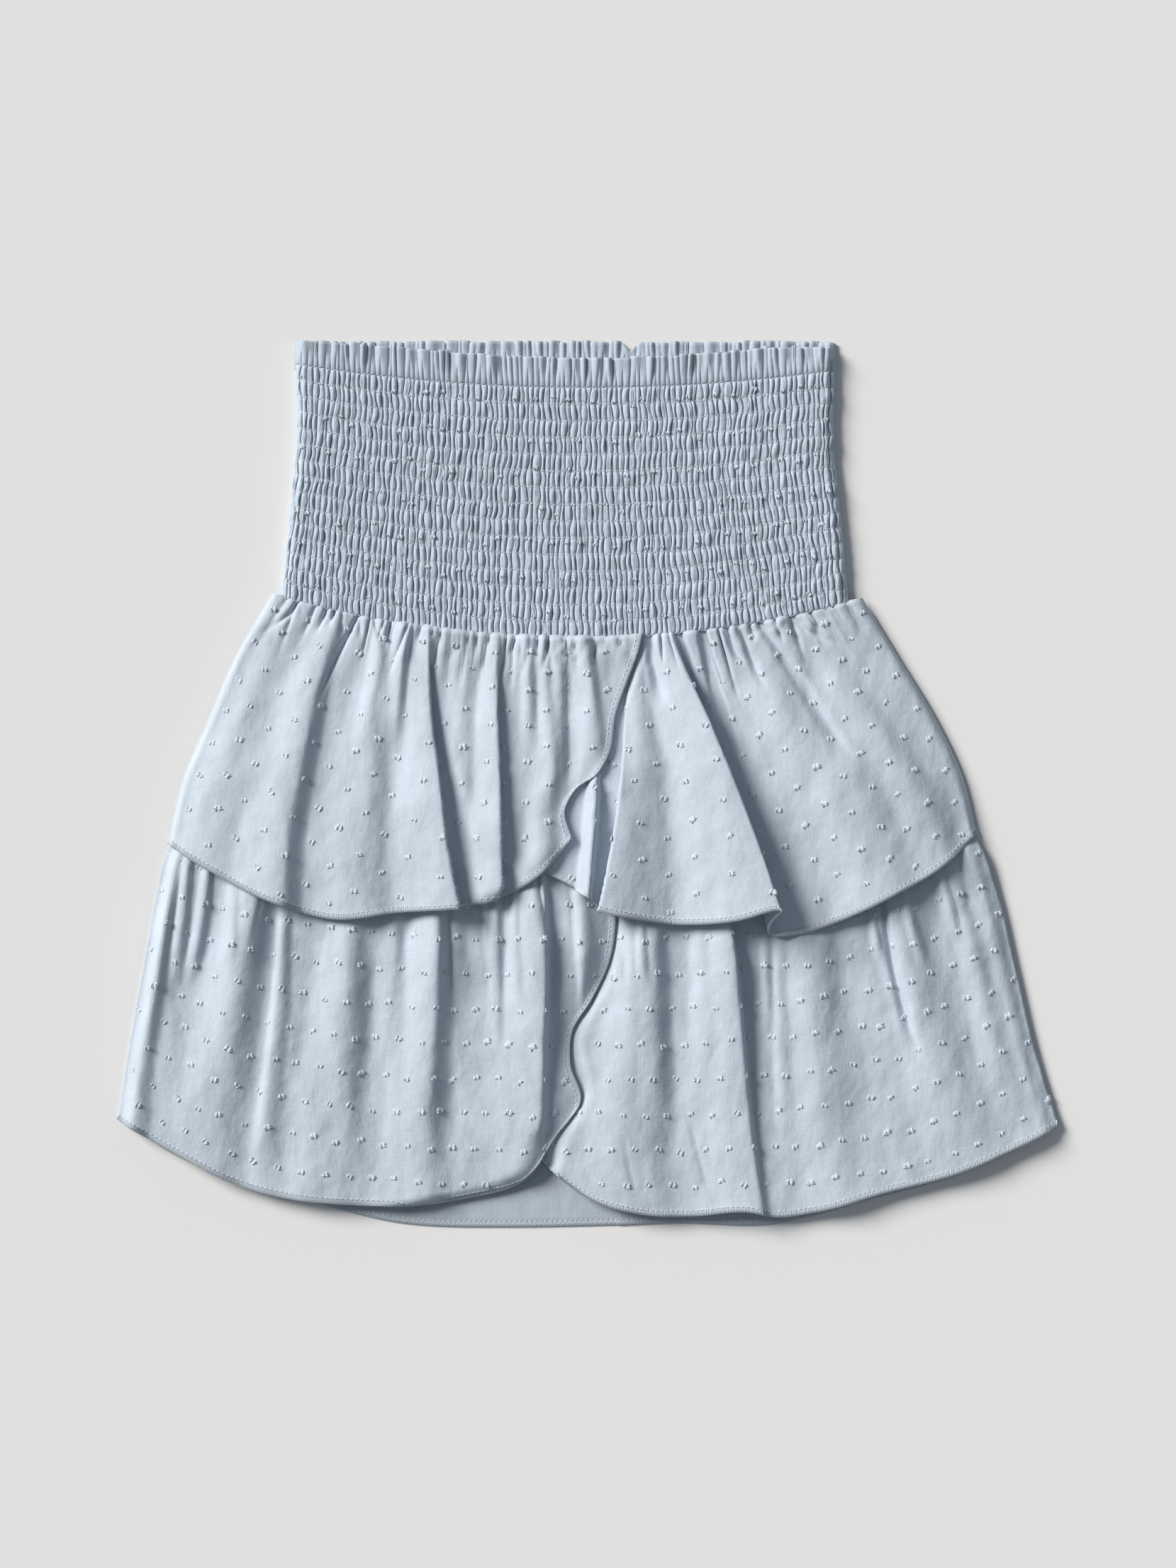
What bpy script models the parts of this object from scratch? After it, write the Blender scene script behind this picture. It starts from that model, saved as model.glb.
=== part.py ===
"""Girls' mini skirt laid flat: smocked waistband, hidden yoke and two wrapped, gathered ruffle tiers.

+X runs to the right of the front, +Y towards the waist and +Z up from the surface it lies on.
Sizes below are in millimetres and turned into metres where the points are made.
The origin is under the middle of the laid-out skirt.
"""
import math

import bmesh
import bpy
import numpy as np

MM = 0.001
WALL = 1.2                     # cloth wall
GAP = 0.3                      # between pieces that are sewn or lie together
LAYER = WALL + GAP             # rise from one lying layer to the next
LIP = 2.2                      # width over which a side edge turns down to the layer below
COVER_MARGIN = 3.5             # from the edge of the panel on top to the first rise beside it
COVER_SLOPE = 9.0
STEP_START = 20.0              # where a panel starts to climb onto the edge hidden under it
STEP_SLOPE = 10.0
STEP_SLACK = 0.4               # more room than a layer there
DROP_START = 6.0               # how far past the upper hem the lower tier starts to come down
DROP_SLOPE = 26.0
DROP_SLACK = 0.6               # more room between the layers on that slope

# Waistband, seen flat from the front
BAND_LEFT = -132.2
BAND_RIGHT = 111.7
SEAM_LEFT = -138.9             # where the waistband is sewn to the tiers
SEAM_RIGHT = 118.1
SEAM_Y_LEFT = 84.5
SEAM_Y_RIGHT = 81.9
SEAM_SAG = 17.6
FIRST_ROW_Y_LEFT = 189.1       # top row of shirring
FIRST_ROW_Y_RIGHT = 186.2
FIRST_ROW_SAG = 9.2
STITCH_ROWS = 16
RIBS = 100
PUFF = 1.6                     # height of one puff between two stitch rows
BAND_LIFT = 2.6                # hollow between front and back of the band, at most
BAND_SINK = 0.5                # how much less that is at the seam
BAND_FLARE = 2.6               # how far each side has spread at 0.6 of the way down
FRILL_WAVES = 40
FRILL_POINTS = 4 * FRILL_WAVES
FRILL_WALL = 1.4
FRILL_SWING = 1.5
FRILL_LIFT = 0.4
BACK_TOP_Y = 200.1
BACK_FRILL_WALL = 1.2
BACK_FRILL_SWING = 0.8
BACK_FRILL_DEPTH = 12.0
NOTCH_ACROSS = 0.62            # centre back seam, where the two ends of the frill part
NOTCH_DEPTH = 4.5
NOTCH_HALF_WIDTH = 0.012       # share of the width

# Tiers
GATHERS = 26                   # across a whole tier
GATHER_POINTS = 4 * GATHERS
GATHER_ROWS = 2                # rows of points that follow the gathers
UPPER_GATHER = 2.1             # height of the gathers
LOWER_GATHER = 1.6
GATHER_REACH = 0.35            # share of the way down where they have died out
TIER_LIFT = 5.2                # how far the upper tier is lifted by what lies under it
TIER_LIFT_REACH = 0.7
TIER_LIFT_SIDE = 45.0
SIDE_CALM = 14.0               # width beside a side seam where folds die out
FOLD_COLUMNS = 34              # columns of points across a panel
CLOSEST_COLUMNS = 0.012        # share of a panel's width
FOLD_TOP_WIDTH = 0.45          # a fold's width at the top of its tier, as a share of that at the hem
FOLD_TOP_RISE = 0.35
FOLD_GROWTH = 0.75             # share of the way down over which a fold reaches its height
TIER_DEPTH_SHARE = 0.4         # a tier's depth as a share of its width
YOKE_INSET = 4.0               # at each end of the waist seam

# Height of the front frill's top edge: share across, y
FRILL_TOP = (
    (0.00, 200.0),
    (0.17, 197.4),
    (0.37, 193.2),
    (0.55, 191.9),
    (0.76, 194.0),
    (0.90, 197.2),
    (1.00, 196.0),
)

# Side outlines of the tiers: share of the way down, x on the left, x on the right
UPPER_SIDES = (
    (0.00, -142.7, 123.8),
    (0.25, -159.7, 140.5),
    (0.50, -172.2, 157.1),
    (0.75, -183.0, 168.6),
    (1.00, -189.8, 175.4),
)
LOWER_SIDES = (
    (0.00, -177.0, 163.0),
    (0.10, -182.2, 169.8),
    (0.16, -191.0, 178.5),
    (0.25, -194.8, 182.9),
    (0.50, -201.0, 191.6),
    (0.75, -207.0, 201.4),
    (1.00, -212.2, 212.2),
)
UPPER_HEM = (-26.9, -22.1, 39.0, 4)    # y at the left, y at the right, sag, squareness
LOWER_HEM = (-151.0, -153.9, 41.0, 4)
LOWER_TOP = (-15.7, -10.9, 19.8, 2)

# Free edges of the wrapped panels: share across the tier, share of the way down
UPPER_LEFT_WRAP = (
    (0.628, 0.00), (0.617, 0.06), (0.597, 0.15), (0.573, 0.27),
    (0.557, 0.40), (0.535, 0.48), (0.506, 0.53), (0.491, 0.60), (0.500, 0.70),
)
UPPER_LEFT_HEM = (
    (0.000, 1.000), (0.054, 0.988), (0.142, 1.000), (0.208, 1.003), (0.281, 0.961),
    (0.355, 0.935), (0.406, 0.907), (0.456, 0.834), (0.500, 0.700),
)
UPPER_RIGHT_WRAP = (
    (0.308, 0.00), (0.343, 0.22), (0.386, 0.50), (0.428, 0.72), (0.465, 0.815),
)
UPPER_RIGHT_HEM = (
    (0.465, 0.815), (0.506, 0.880), (0.535, 0.940), (0.580, 0.975), (0.650, 1.020),
    (0.712, 1.021), (0.764, 1.070), (0.826, 1.055), (0.896, 1.029), (0.966, 1.020),
    (1.000, 1.000),
)
LOWER_LEFT_WRAP = (
    (0.556, 0.00), (0.551, 0.15), (0.538, 0.29), (0.515, 0.40),
    (0.492, 0.49), (0.489, 0.58), (0.500, 0.68), (0.474, 0.776),
)
LOWER_LEFT_HEM = (
    (0.000, 1.000), (0.062, 0.990), (0.119, 1.004), (0.176, 1.006), (0.236, 0.998),
    (0.289, 0.991), (0.364, 0.965), (0.429, 0.915), (0.474, 0.776),
)
LOWER_RIGHT_WRAP = (
    (0.349, 0.00), (0.361, 0.19), (0.381, 0.44), (0.409, 0.70), (0.444, 0.824),
)
LOWER_RIGHT_HEM = (
    (0.444, 0.824), (0.479, 0.915), (0.510, 0.968), (0.553, 1.000), (0.613, 1.006),
    (0.666, 0.995), (0.700, 1.013), (0.741, 1.006), (0.818, 0.978), (0.894, 0.980),
    (0.946, 0.983), (1.000, 1.000),
)
LOWER_BACK_HEM = (
    (0.000, 0.995), (0.100, 1.000), (0.198, 1.005), (0.307, 1.040), (0.417, 1.042),
    (0.530, 1.034), (0.598, 1.027), (0.685, 1.034), (0.818, 0.987), (0.893, 0.985),
    (1.000, 0.995),
)

# How far across each left panel reaches, from the top of the tier to its hem: way down, across
UPPER_COVER = (
    (0.00, 0.628), (0.15, 0.597), (0.27, 0.573), (0.40, 0.557), (0.53, 0.506),
    (0.60, 0.492), (0.75, 0.492), (0.83, 0.456), (0.91, 0.406), (1.00, 0.300),
)
LOWER_COVER = (
    (0.00, 0.556), (0.15, 0.551), (0.29, 0.538), (0.40, 0.515), (0.50, 0.492),
    (0.68, 0.500), (0.78, 0.474), (0.92, 0.429), (1.00, 0.300),
)

# Folds of each panel: across at the top, across at the hem, rise, width to the left,
# width to the right, way down where it starts, lean of its crest over its right side
UPPER_LEFT_FOLDS = (
    (0.070, 0.050, 5.0, 20, 26, 0.05, 0.0),
    (0.190, 0.190, 7.5, 24, 24, 0.10, 0.0),
    (0.265, 0.345, 13.5, 30, 8, 0.06, 3.0),
    (0.380, 0.403, 9.5, 14, 7, 0.02, 2.0),
    (0.480, 0.462, 6.0, 18, 10, 0.20, 0.0),
    (0.560, 0.515, 4.5, 16, 14, 0.10, 0.0),
)
UPPER_RIGHT_FOLDS = (
    (0.560, 0.517, 9.0, 8, 9, 0.40, -1.0),
    (0.640, 0.590, 8.5, 24, 40, 0.10, 0.0),
    (0.706, 0.745, 16.0, 34, 9, 0.02, 4.0),
    (0.790, 0.880, 8.0, 26, 30, 0.05, 0.0),
    (0.900, 0.960, 4.0, 16, 12, 0.10, 0.0),
)
LOWER_LEFT_FOLDS = (
    (0.040, 0.055, 6.0, 18, 26, 0.10, 0.0),
    (0.128, 0.112, 9.0, 22, 8, 0.00, 1.5),
    (0.230, 0.215, 7.0, 22, 24, 0.15, 0.0),
    (0.325, 0.318, 11.0, 24, 8, 0.00, 2.0),
    (0.440, 0.425, 11.5, 26, 9, 0.00, 2.0),
    (0.530, 0.490, 4.0, 14, 12, 0.15, 0.0),
)
LOWER_RIGHT_FOLDS = (
    (0.585, 0.540, 7.0, 24, 26, 0.10, 0.0),
    (0.690, 0.690, 11.5, 30, 8, 0.05, 2.5),
    (0.780, 0.790, 7.0, 24, 26, 0.10, 0.0),
    (0.870, 0.910, 7.5, 22, 24, 0.00, 0.0),
    (0.945, 0.965, 3.5, 12, 10, 0.10, 0.0),
)

CLOTH = (0.470, 0.555, 0.650)
SMOCKED = (0.420, 0.500, 0.590)
INSIDE = (0.500, 0.580, 0.665)


# Curves and small sums

def column(table, index):
    return np.array([row[index] for row in table], float)


def through(knots, values, at):
    """Smooth curve through a short table, straight on beyond its ends."""
    slopes = np.gradient(values, knots)
    held = np.clip(at, knots[0], knots[-1])
    left = np.clip(np.searchsorted(knots, held) - 1, 0, len(knots) - 2)
    span = knots[left + 1] - knots[left]
    part = (held - knots[left]) / span
    curve = (1 + 2 * part) * (1 - part) ** 2 * values[left]
    curve = curve + part ** 2 * (3 - 2 * part) * values[left + 1]
    curve = curve + part * (1 - part) ** 2 * span * slopes[left]
    curve = curve - part ** 2 * (1 - part) * span * slopes[left + 1]
    beyond = np.where(at > held, slopes[-1], slopes[0]) * (at - held)
    return curve + beyond


def ease(share):
    """Soft step from 0 to 1."""
    held = np.clip(share, 0.0, 1.0)
    return held * held * (3 - 2 * held)


def arch(across, left, right, sag, squareness):
    """Line from left to right that hangs by the sag in its middle."""
    return left + (right - left) * across - sag * (1 - np.abs(2 * across - 1) ** squareness)


def seam_y(x):
    """Waist seam, a shallow arc from side to side."""
    middle = (SEAM_LEFT + SEAM_RIGHT) / 2
    half = (SEAM_RIGHT - SEAM_LEFT) / 2
    share = (x - middle) / half
    level = (SEAM_Y_LEFT + SEAM_Y_RIGHT) / 2 + share * (SEAM_Y_RIGHT - SEAM_Y_LEFT) / 2
    return level - SEAM_SAG * (1 - share ** 2)


class Fan:
    """Lying outline of one tier: across 0 to 1 from left to right, down 0 at its top and 1 at its hem."""

    def __init__(self, sides, top, hem, inset):
        self.downs = column(sides, 0)
        self.lefts = column(sides, 1) + inset
        self.rights = column(sides, 2) - inset
        self.top = top
        self.hem = hem

    def ends(self, down):
        return through(self.downs, self.lefts, down), through(self.downs, self.rights, down)

    def place(self, across, down):
        left, right = self.ends(down)
        x = left + (right - left) * across
        y = (1 - down) * self.top(x, across) + down * arch(across, *self.hem)
        return x, y

    def side_distance(self, across, down):
        left, right = self.ends(down)
        return np.minimum(across, 1 - across) * (right - left)


UPPER = Fan(UPPER_SIDES, lambda x, across: seam_y(x) - GAP, UPPER_HEM, WALL)
LOWER = Fan(LOWER_SIDES, lambda x, across: arch(across, *LOWER_TOP), LOWER_HEM, 0.0)


def coons(top, hem, left, right, across, down):
    """Patch between four edges, each a function of its own share."""
    sides = (1 - across) * left(down) + across * right(down)
    ends = (1 - down) * top(across) + down * hem(across)
    corners = (1 - down) * ((1 - across) * top(0.0) + across * top(1.0))
    corners = corners + down * ((1 - across) * hem(0.0) + across * hem(1.0))
    return sides + ends - corners


def run(table, index):
    """Curve along an edge table, at a share of its length."""
    steps = np.hypot(np.diff(column(table, 0)), np.diff(column(table, 1)) * TIER_DEPTH_SHARE)
    knots = np.concatenate([[0.0], np.cumsum(steps)]) / np.sum(steps)
    return lambda share: through(knots, column(table, index), share)


def top_spacing(hem, wrap, wrap_side, folds):
    """Shares of a panel's width, at its ends and crests, with the places they have along its top."""
    ends = (0.0, wrap[0][0]) if wrap_side == "right" else (wrap[0][0], 1.0)
    share = np.linspace(0.0, 1.0, 201)
    hem_across = run(hem, 0)(share)
    crests = np.interp([fold[1] for fold in folds], hem_across, share)
    kept = [i for i, crest in enumerate(crests) if 0.02 < crest < 0.98]
    knots = [0.0, *[crests[i] for i in kept], 1.0]
    tops = [ends[0], *[folds[i][0] for i in kept], ends[1]]
    return np.array(knots), np.array(tops)


def panel_shares(knots, tops, hem, wrap, wrap_side):
    """Map from a panel's own shares to its tier's, with one wrapped edge and one side seam."""
    def shares(u, v):
        across_top = lambda s: np.interp(s, knots, tops)
        down_top = lambda s: 0.0 * s
        hem_across = run(hem, 0)
        hem_down = run(hem, 1)
        wrap_across = run(wrap, 0)
        wrap_down = run(wrap, 1)
        straight = lambda s: s
        if wrap_side == "right":
            edge = lambda s: 0.0 * s
            across = coons(across_top, hem_across, edge, wrap_across, u, v)
            down = coons(down_top, hem_down, straight, wrap_down, u, v)
        else:
            edge = lambda s: 1.0 + 0.0 * s
            across = coons(across_top, hem_across, wrap_across, edge, u, v)
            down = coons(down_top, hem_down, wrap_down, straight, u, v)
        return across, down
    return shares


# Heights of the lying layers

def fold_field(folds, fan, across, down):
    """Rise of a panel's folds, and how far their crests lean sideways."""
    left, right = fan.ends(down)
    width = right - left
    rise_sum = 0.0 * across
    lean_sum = 0.0 * across
    for top, hem, rise, left_width, right_width, start, lean in folds:
        crest = top + (hem - top) * down
        offset = (across - crest) * width
        spread = FOLD_TOP_WIDTH + (1 - FOLD_TOP_WIDTH) * np.clip(down, 0, 1)
        side = np.where(offset < 0, left_width, right_width) * spread
        shape = 0.5 + 0.5 * np.cos(math.pi * np.clip(offset / side, -1, 1))
        growth = ease((down - start) / FOLD_GROWTH + 0.12) * (FOLD_TOP_RISE + (1 - FOLD_TOP_RISE) * down)
        rise_sum = rise_sum + rise * growth * shape
        lean_sum = lean_sum + lean * growth * shape ** 2
    return rise_sum, lean_sum


def gathers(height, across, down):
    """Small gathers under a seam, uneven along it and dying out below it."""
    uneven = 0.7 + 0.3 * np.sin(5.3 * across * math.pi + 1.1)
    wave = (1 - np.cos(2 * math.pi * GATHERS * across)) / 2
    return height * uneven * wave * (1 - ease(down / GATHER_REACH))


def clear_of_cover(cover, fan, across, down):
    """0 where another panel lies on top, rising to 1 just past its edge."""
    edge = through(column(cover, 0), column(cover, 1), np.clip(down, 0, 1))
    left, right = fan.ends(down)
    return ease(((across - edge) * (right - left) - COVER_MARGIN) / COVER_SLOPE)


def upper_base(across, down):
    """Underside of the upper front tier: over the yoke, then over the top of the lower tier."""
    inner = ease(UPPER.side_distance(across, down) / TIER_LIFT_SIDE)
    return 3 * LAYER + TIER_LIFT * ease(down / TIER_LIFT_REACH) * inner


def turned_down(fan, across, down, height, floor):
    """Side edges turn down to the layer that they are sewn to."""
    lip = ease(fan.side_distance(across, down) / LIP)
    return floor + (height - floor) * lip


def over_panel(hidden_wrap, fan, across, down):
    """One more layer where a left panel lies on the right one's hidden edge."""
    edge = through(column(hidden_wrap, 1), column(hidden_wrap, 0), np.clip(down, 0, 1))
    left, right = fan.ends(down)
    climbed = ease(((across - edge) * (right - left) + STEP_START) / STEP_SLOPE)
    return (LAYER + STEP_SLACK) * climbed


def upper_right_point(across, down):
    rise, lean = fold_field(UPPER_RIGHT_FOLDS, UPPER, across, down)
    clear = clear_of_cover(UPPER_COVER, UPPER, across, down)
    sides = ease(UPPER.side_distance(across, down) / SIDE_CALM)
    small = gathers(UPPER_GATHER, across, down)
    height = upper_base(across, down) + (rise + small) * clear * sides
    x, y = UPPER.place(across, down)
    return x + lean * clear * sides, y, turned_down(UPPER, across, down, height, LAYER)


def upper_left_point(across, down):
    rise, lean = fold_field(UPPER_LEFT_FOLDS, UPPER, across, down)
    sides = ease(UPPER.side_distance(across, down) / SIDE_CALM)
    small = gathers(UPPER_GATHER, across, down)
    layer = over_panel(UPPER_RIGHT_WRAP, UPPER, across, down)
    height = upper_base(across, down) + layer + (rise + small) * sides
    x, y = UPPER.place(across, down)
    return x + lean * sides, y, turned_down(UPPER, across, down, height, LAYER)


def drop_share(x, y):
    """1 where the lower tier lies on the upper tier's back, 0 where it has come down past its hem."""
    left, right = UPPER.ends(1.0)
    across = np.clip((x - left) / (right - left), 0, 1)
    hem_y = arch(across, *UPPER_HEM)
    return ease((y - hem_y + DROP_START + DROP_SLOPE) / DROP_SLOPE)


def lower_back_height(x, y):
    return LAYER * drop_share(x, y)


def lower_front_height(x, y):
    share = drop_share(x, y)
    return LAYER * share + LAYER + DROP_SLACK * 4 * share * (1 - share)


def lower_right_point(across, down):
    rise, lean = fold_field(LOWER_RIGHT_FOLDS, LOWER, across, down)
    clear = clear_of_cover(LOWER_COVER, LOWER, across, down)
    sides = ease(LOWER.side_distance(across, down) / SIDE_CALM)
    small = gathers(LOWER_GATHER, across, down)
    x, y = LOWER.place(across, down)
    height = lower_front_height(x, y) + (rise + small) * clear * sides
    return x + lean * clear * sides, y, height


def lower_left_point(across, down):
    rise, lean = fold_field(LOWER_LEFT_FOLDS, LOWER, across, down)
    sides = ease(LOWER.side_distance(across, down) / SIDE_CALM)
    small = gathers(LOWER_GATHER, across, down)
    layer = over_panel(LOWER_RIGHT_WRAP, LOWER, across, down)
    x, y = LOWER.place(across, down)
    height = lower_front_height(x, y) + layer + (rise + small) * sides
    return x + lean * sides, y, height


# Each front panel: name, its surface, folds, hem, wrapped edge, the side that edge is on, hem length
PANELS = (
    ("upper_tier_front_right", upper_right_point, UPPER_RIGHT_FOLDS, UPPER_RIGHT_HEM,
     UPPER_RIGHT_WRAP, "left", 205.0),
    ("upper_tier_front_left", upper_left_point, UPPER_LEFT_FOLDS, UPPER_LEFT_HEM,
     UPPER_LEFT_WRAP, "right", 200.0),
    ("lower_tier_front_right", lower_right_point, LOWER_RIGHT_FOLDS, LOWER_RIGHT_HEM,
     LOWER_RIGHT_WRAP, "left", 245.0),
    ("lower_tier_front_left", lower_left_point, LOWER_LEFT_FOLDS, LOWER_LEFT_HEM,
     LOWER_LEFT_WRAP, "right", 215.0),
)


# Meshes

def zip_rows(mesh, first, second, first_at=None, second_at=None):
    """Triangles between two rows that may have different points, by their shares of the width."""
    if first_at is None:
        first_at = np.linspace(0.0, 1.0, len(first))
        second_at = np.linspace(0.0, 1.0, len(second))
    i = 0
    j = 0
    while i < len(first) - 1 or j < len(second) - 1:
        next_first = first_at[i + 1] if i < len(first) - 1 else math.inf
        next_second = second_at[j + 1] if j < len(second) - 1 else math.inf
        if next_first <= next_second:
            mesh.faces.new((first[i], second[j], first[i + 1]))
            i += 1
        else:
            mesh.faces.new((first[i], second[j], second[j + 1]))
            j += 1


def add_row(mesh, points):
    x, y, z = np.broadcast_arrays(*points)
    return [mesh.verts.new((x[i] * MM, y[i] * MM, z[i] * MM)) for i in range(len(x))]


def material(name, colour):
    made = bpy.data.materials.new(name)
    made.use_nodes = True
    shader = made.node_tree.nodes["Principled BSDF"]
    shader.inputs["Base Color"].default_value = (*colour, 1.0)
    shader.inputs["Roughness"].default_value = 0.9
    shader.inputs["Metallic"].default_value = 0.0
    return made


def finish_object(mesh, name, colour, collection, holder):
    data = bpy.data.meshes.new(name)
    mesh.to_mesh(data)
    mesh.free()
    data.shade_smooth()
    data.materials.append(material(name + "_cloth", colour))
    made = bpy.data.objects.new(name, data)
    made.parent = holder
    collection.objects.link(made)
    return made


def cloth_wall(name, rows, places, colour, collection, holder):
    """Open sheet of zipped rows whose wall grows upwards from its underside."""
    mesh = bmesh.new()
    made_rows = [add_row(mesh, row) for row in rows]
    for i in range(len(rows) - 1):
        zip_rows(mesh, made_rows[i], made_rows[i + 1], places[i], places[i + 1])
    sheet = finish_object(mesh, name, colour, collection, holder)
    wall = sheet.modifiers.new("cloth wall", "SOLIDIFY")
    wall.thickness = WALL * MM
    wall.offset = 1.0
    wall.use_even_offset = True
    wall.use_quality_normals = True
    return sheet


def crest_columns(knots, folds, width, lip_side):
    """Columns along each crest and both its feet, evenly filled in, and one where the side turns down."""
    lip = LIP / width
    columns = {0.0, 1.0, lip if lip_side == "left" else 1.0 - lip}
    for crest, fold in zip(knots[1:-1], folds):
        for offset in (-fold[3], -0.5 * fold[3], 0.0, 0.5 * fold[4], fold[4]):
            columns.add(crest + offset / width)
    columns = sorted(place for place in columns if 0.0 <= place <= 1.0)
    spaced = [columns[0]]
    for place in columns[1:]:
        if place - spaced[-1] > CLOSEST_COLUMNS or place == 1.0:
            spaced.append(place)
    while len(spaced) < FOLD_COLUMNS + 1:
        gaps = np.diff(spaced)
        widest = int(np.argmax(gaps))
        spaced.insert(widest + 1, (spaced[widest] + spaced[widest + 1]) / 2)
    return np.array(spaced)


def panel_rows(point, folds, hem, wrap, wrap_side, width, downs):
    """Rows of a panel from its top to its hem: fine along the gathers, then along the folds."""
    lip_side = "left" if wrap_side == "right" else "right"
    knots, tops = top_spacing(hem, wrap, wrap_side, folds)
    shares = panel_shares(knots, tops, hem, wrap, wrap_side)
    across_top = np.arange(tops[0], tops[-1], 1 / GATHER_POINTS)
    gathered = np.append(np.interp(across_top, tops, knots), 1.0)
    folded = crest_columns(knots, folds, width, lip_side)
    rows = []
    places = []
    for index, down in enumerate(downs):
        u = gathered if index < GATHER_ROWS else folded
        across, reach = shares(u, np.full_like(u, down))
        rows.append(point(across, reach))
        places.append(u)
    return rows, places


def back_rows(fan, hem, height, downs, count):
    """Plain rows of a back piece that lies under the front."""
    rows = []
    across = np.linspace(0.0, 1.0, count + 1)
    reach = through(column(hem, 0), column(hem, 1), across) if hem else 1.0
    for down in downs:
        x, y = fan.place(across, down * reach)
        rows.append((x, y, height(x, y)))
    return rows, [across] * len(rows)


def yoke_rows(level, downs, count):
    """Hidden yoke between the waist seam and the lower tier's top."""
    across = np.linspace(0.0, 1.0, count + 1)
    low_x, low_y = LOWER.place(across, 0.0)
    high_x = SEAM_LEFT + YOKE_INSET + (SEAM_RIGHT - SEAM_LEFT - 2 * YOKE_INSET) * across
    high_y = seam_y(high_x) - GAP
    rows = []
    for down in downs:
        x = high_x + (low_x - high_x) * down
        y = high_y + (low_y + GAP - high_y) * down
        rows.append((x, y, level + 0.0 * x))
    return rows, [across] * len(rows)


# Waistband

def band_ends(down):
    """Left and right ends of the band, from its top row of shirring to its seam."""
    shares = np.array([0.0, 0.35, 0.6, 1.0])
    lefts = np.array([BAND_LEFT, BAND_LEFT, BAND_LEFT - BAND_FLARE, SEAM_LEFT]) + WALL
    rights = np.array([BAND_RIGHT, BAND_RIGHT, BAND_RIGHT + BAND_FLARE, SEAM_RIGHT]) - WALL
    return through(shares, lefts, down), through(shares, rights, down)


def band_place(across, down):
    left, right = band_ends(down)
    x = left + (right - left) * across
    first = arch(across, FIRST_ROW_Y_LEFT, FIRST_ROW_Y_RIGHT, FIRST_ROW_SAG, 2)
    return x, first + (seam_y(x) - first) * down


def band_underside(across, down):
    """The front's inside: clear of the back, and turned down to it at both sides."""
    left, right = band_ends(down)
    distance = np.minimum(across, 1 - across) * (right - left)
    lift = BAND_LIFT - BAND_SINK * ease(down)
    return LAYER + lift * ease(distance / (2 * LIP))


def stitch_row(down):
    across = np.linspace(0.0, 1.0, RIBS + 1)
    x, y = band_place(across, down)
    return x, y, band_underside(across, down) + WALL


def puff_row(down):
    across = (np.arange(RIBS) + 0.5) / RIBS
    x, y = band_place(across, down)
    taper = ease(np.minimum(across, 1 - across) * RIBS / 2.5)
    return x, y, band_underside(across, down) + WALL + PUFF * (0.5 + 0.5 * taper)


def side_calm(across):
    """0 at the side seams, rising to 1 over the width of one and a half frill waves."""
    return ease(np.minimum(across, 1 - across) * FRILL_WAVES / 1.5)


def frill_wave(across, swing):
    """Ruffle of the frill's free edge, dying out at the side seams."""
    uneven = 0.8 + 0.2 * np.sin(11.0 * math.pi * across)
    return swing * uneven * side_calm(across) * np.cos(2 * math.pi * FRILL_WAVES * across)


def puffs(mesh, above, tops, below):
    """One four-sided puff for each rib between two stitch rows."""
    for rib, top in enumerate(tops):
        corners = (above[rib], above[rib + 1], below[rib + 1], below[rib])
        for first, second in zip(corners, corners[1:] + corners[:1]):
            mesh.faces.new((second, first, top))


def waistband_front(collection, holder):
    """Smocked outer face with its frill over a plain inner face."""
    mesh = bmesh.new()
    stitches = [add_row(mesh, stitch_row(row / (STITCH_ROWS - 1))) for row in range(STITCH_ROWS)]
    for row in range(STITCH_ROWS - 1):
        tops = add_row(mesh, puff_row((row + 0.5) / (STITCH_ROWS - 1)))
        puffs(mesh, stitches[row], tops, stitches[row + 1])

    across = np.linspace(0.0, 1.0, FRILL_POINTS + 1)
    edge_x = band_place(across, 0.0)[0]
    edge_y = through(column(FRILL_TOP, 0), column(FRILL_TOP, 1), across)
    under = band_underside(across, 0.0) + frill_wave(across, FRILL_SWING) + FRILL_LIFT
    outer_edge = add_row(mesh, (edge_x, edge_y, under + FRILL_WALL))
    inner_edge = add_row(mesh, (edge_x, edge_y, under))

    rib_across = np.linspace(0.0, 1.0, RIBS + 1)
    inner_x, inner_y = band_place(rib_across, 0.0)
    inner_first = add_row(mesh, (inner_x, inner_y, band_underside(rib_across, 0.0)))
    plain = np.array([0.0, 0.01, 0.02, 0.2, 0.4, 0.6, 0.8, 0.98, 0.99, 1.0])
    inner_rows = []
    for down in (0.15, 0.5, 1.0):
        x, y = band_place(plain, down)
        inner_rows.append(add_row(mesh, (x, y, band_underside(plain, down))))

    loop = [stitches[0], outer_edge, inner_edge, inner_first, *inner_rows, stitches[-1]]
    for first, second in zip(loop, loop[1:]):
        zip_rows(mesh, first, second)
    inner_side = [inner_edge, inner_first, *inner_rows]
    outer_side = [outer_edge, *stitches]
    for end in (0, -1):
        zip_rows(mesh, [row[end] for row in outer_side], [row[end] for row in inner_side])
    bmesh.ops.recalc_face_normals(mesh, faces=mesh.faces)
    return finish_object(mesh, "waistband_front", SMOCKED, collection, holder)


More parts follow.
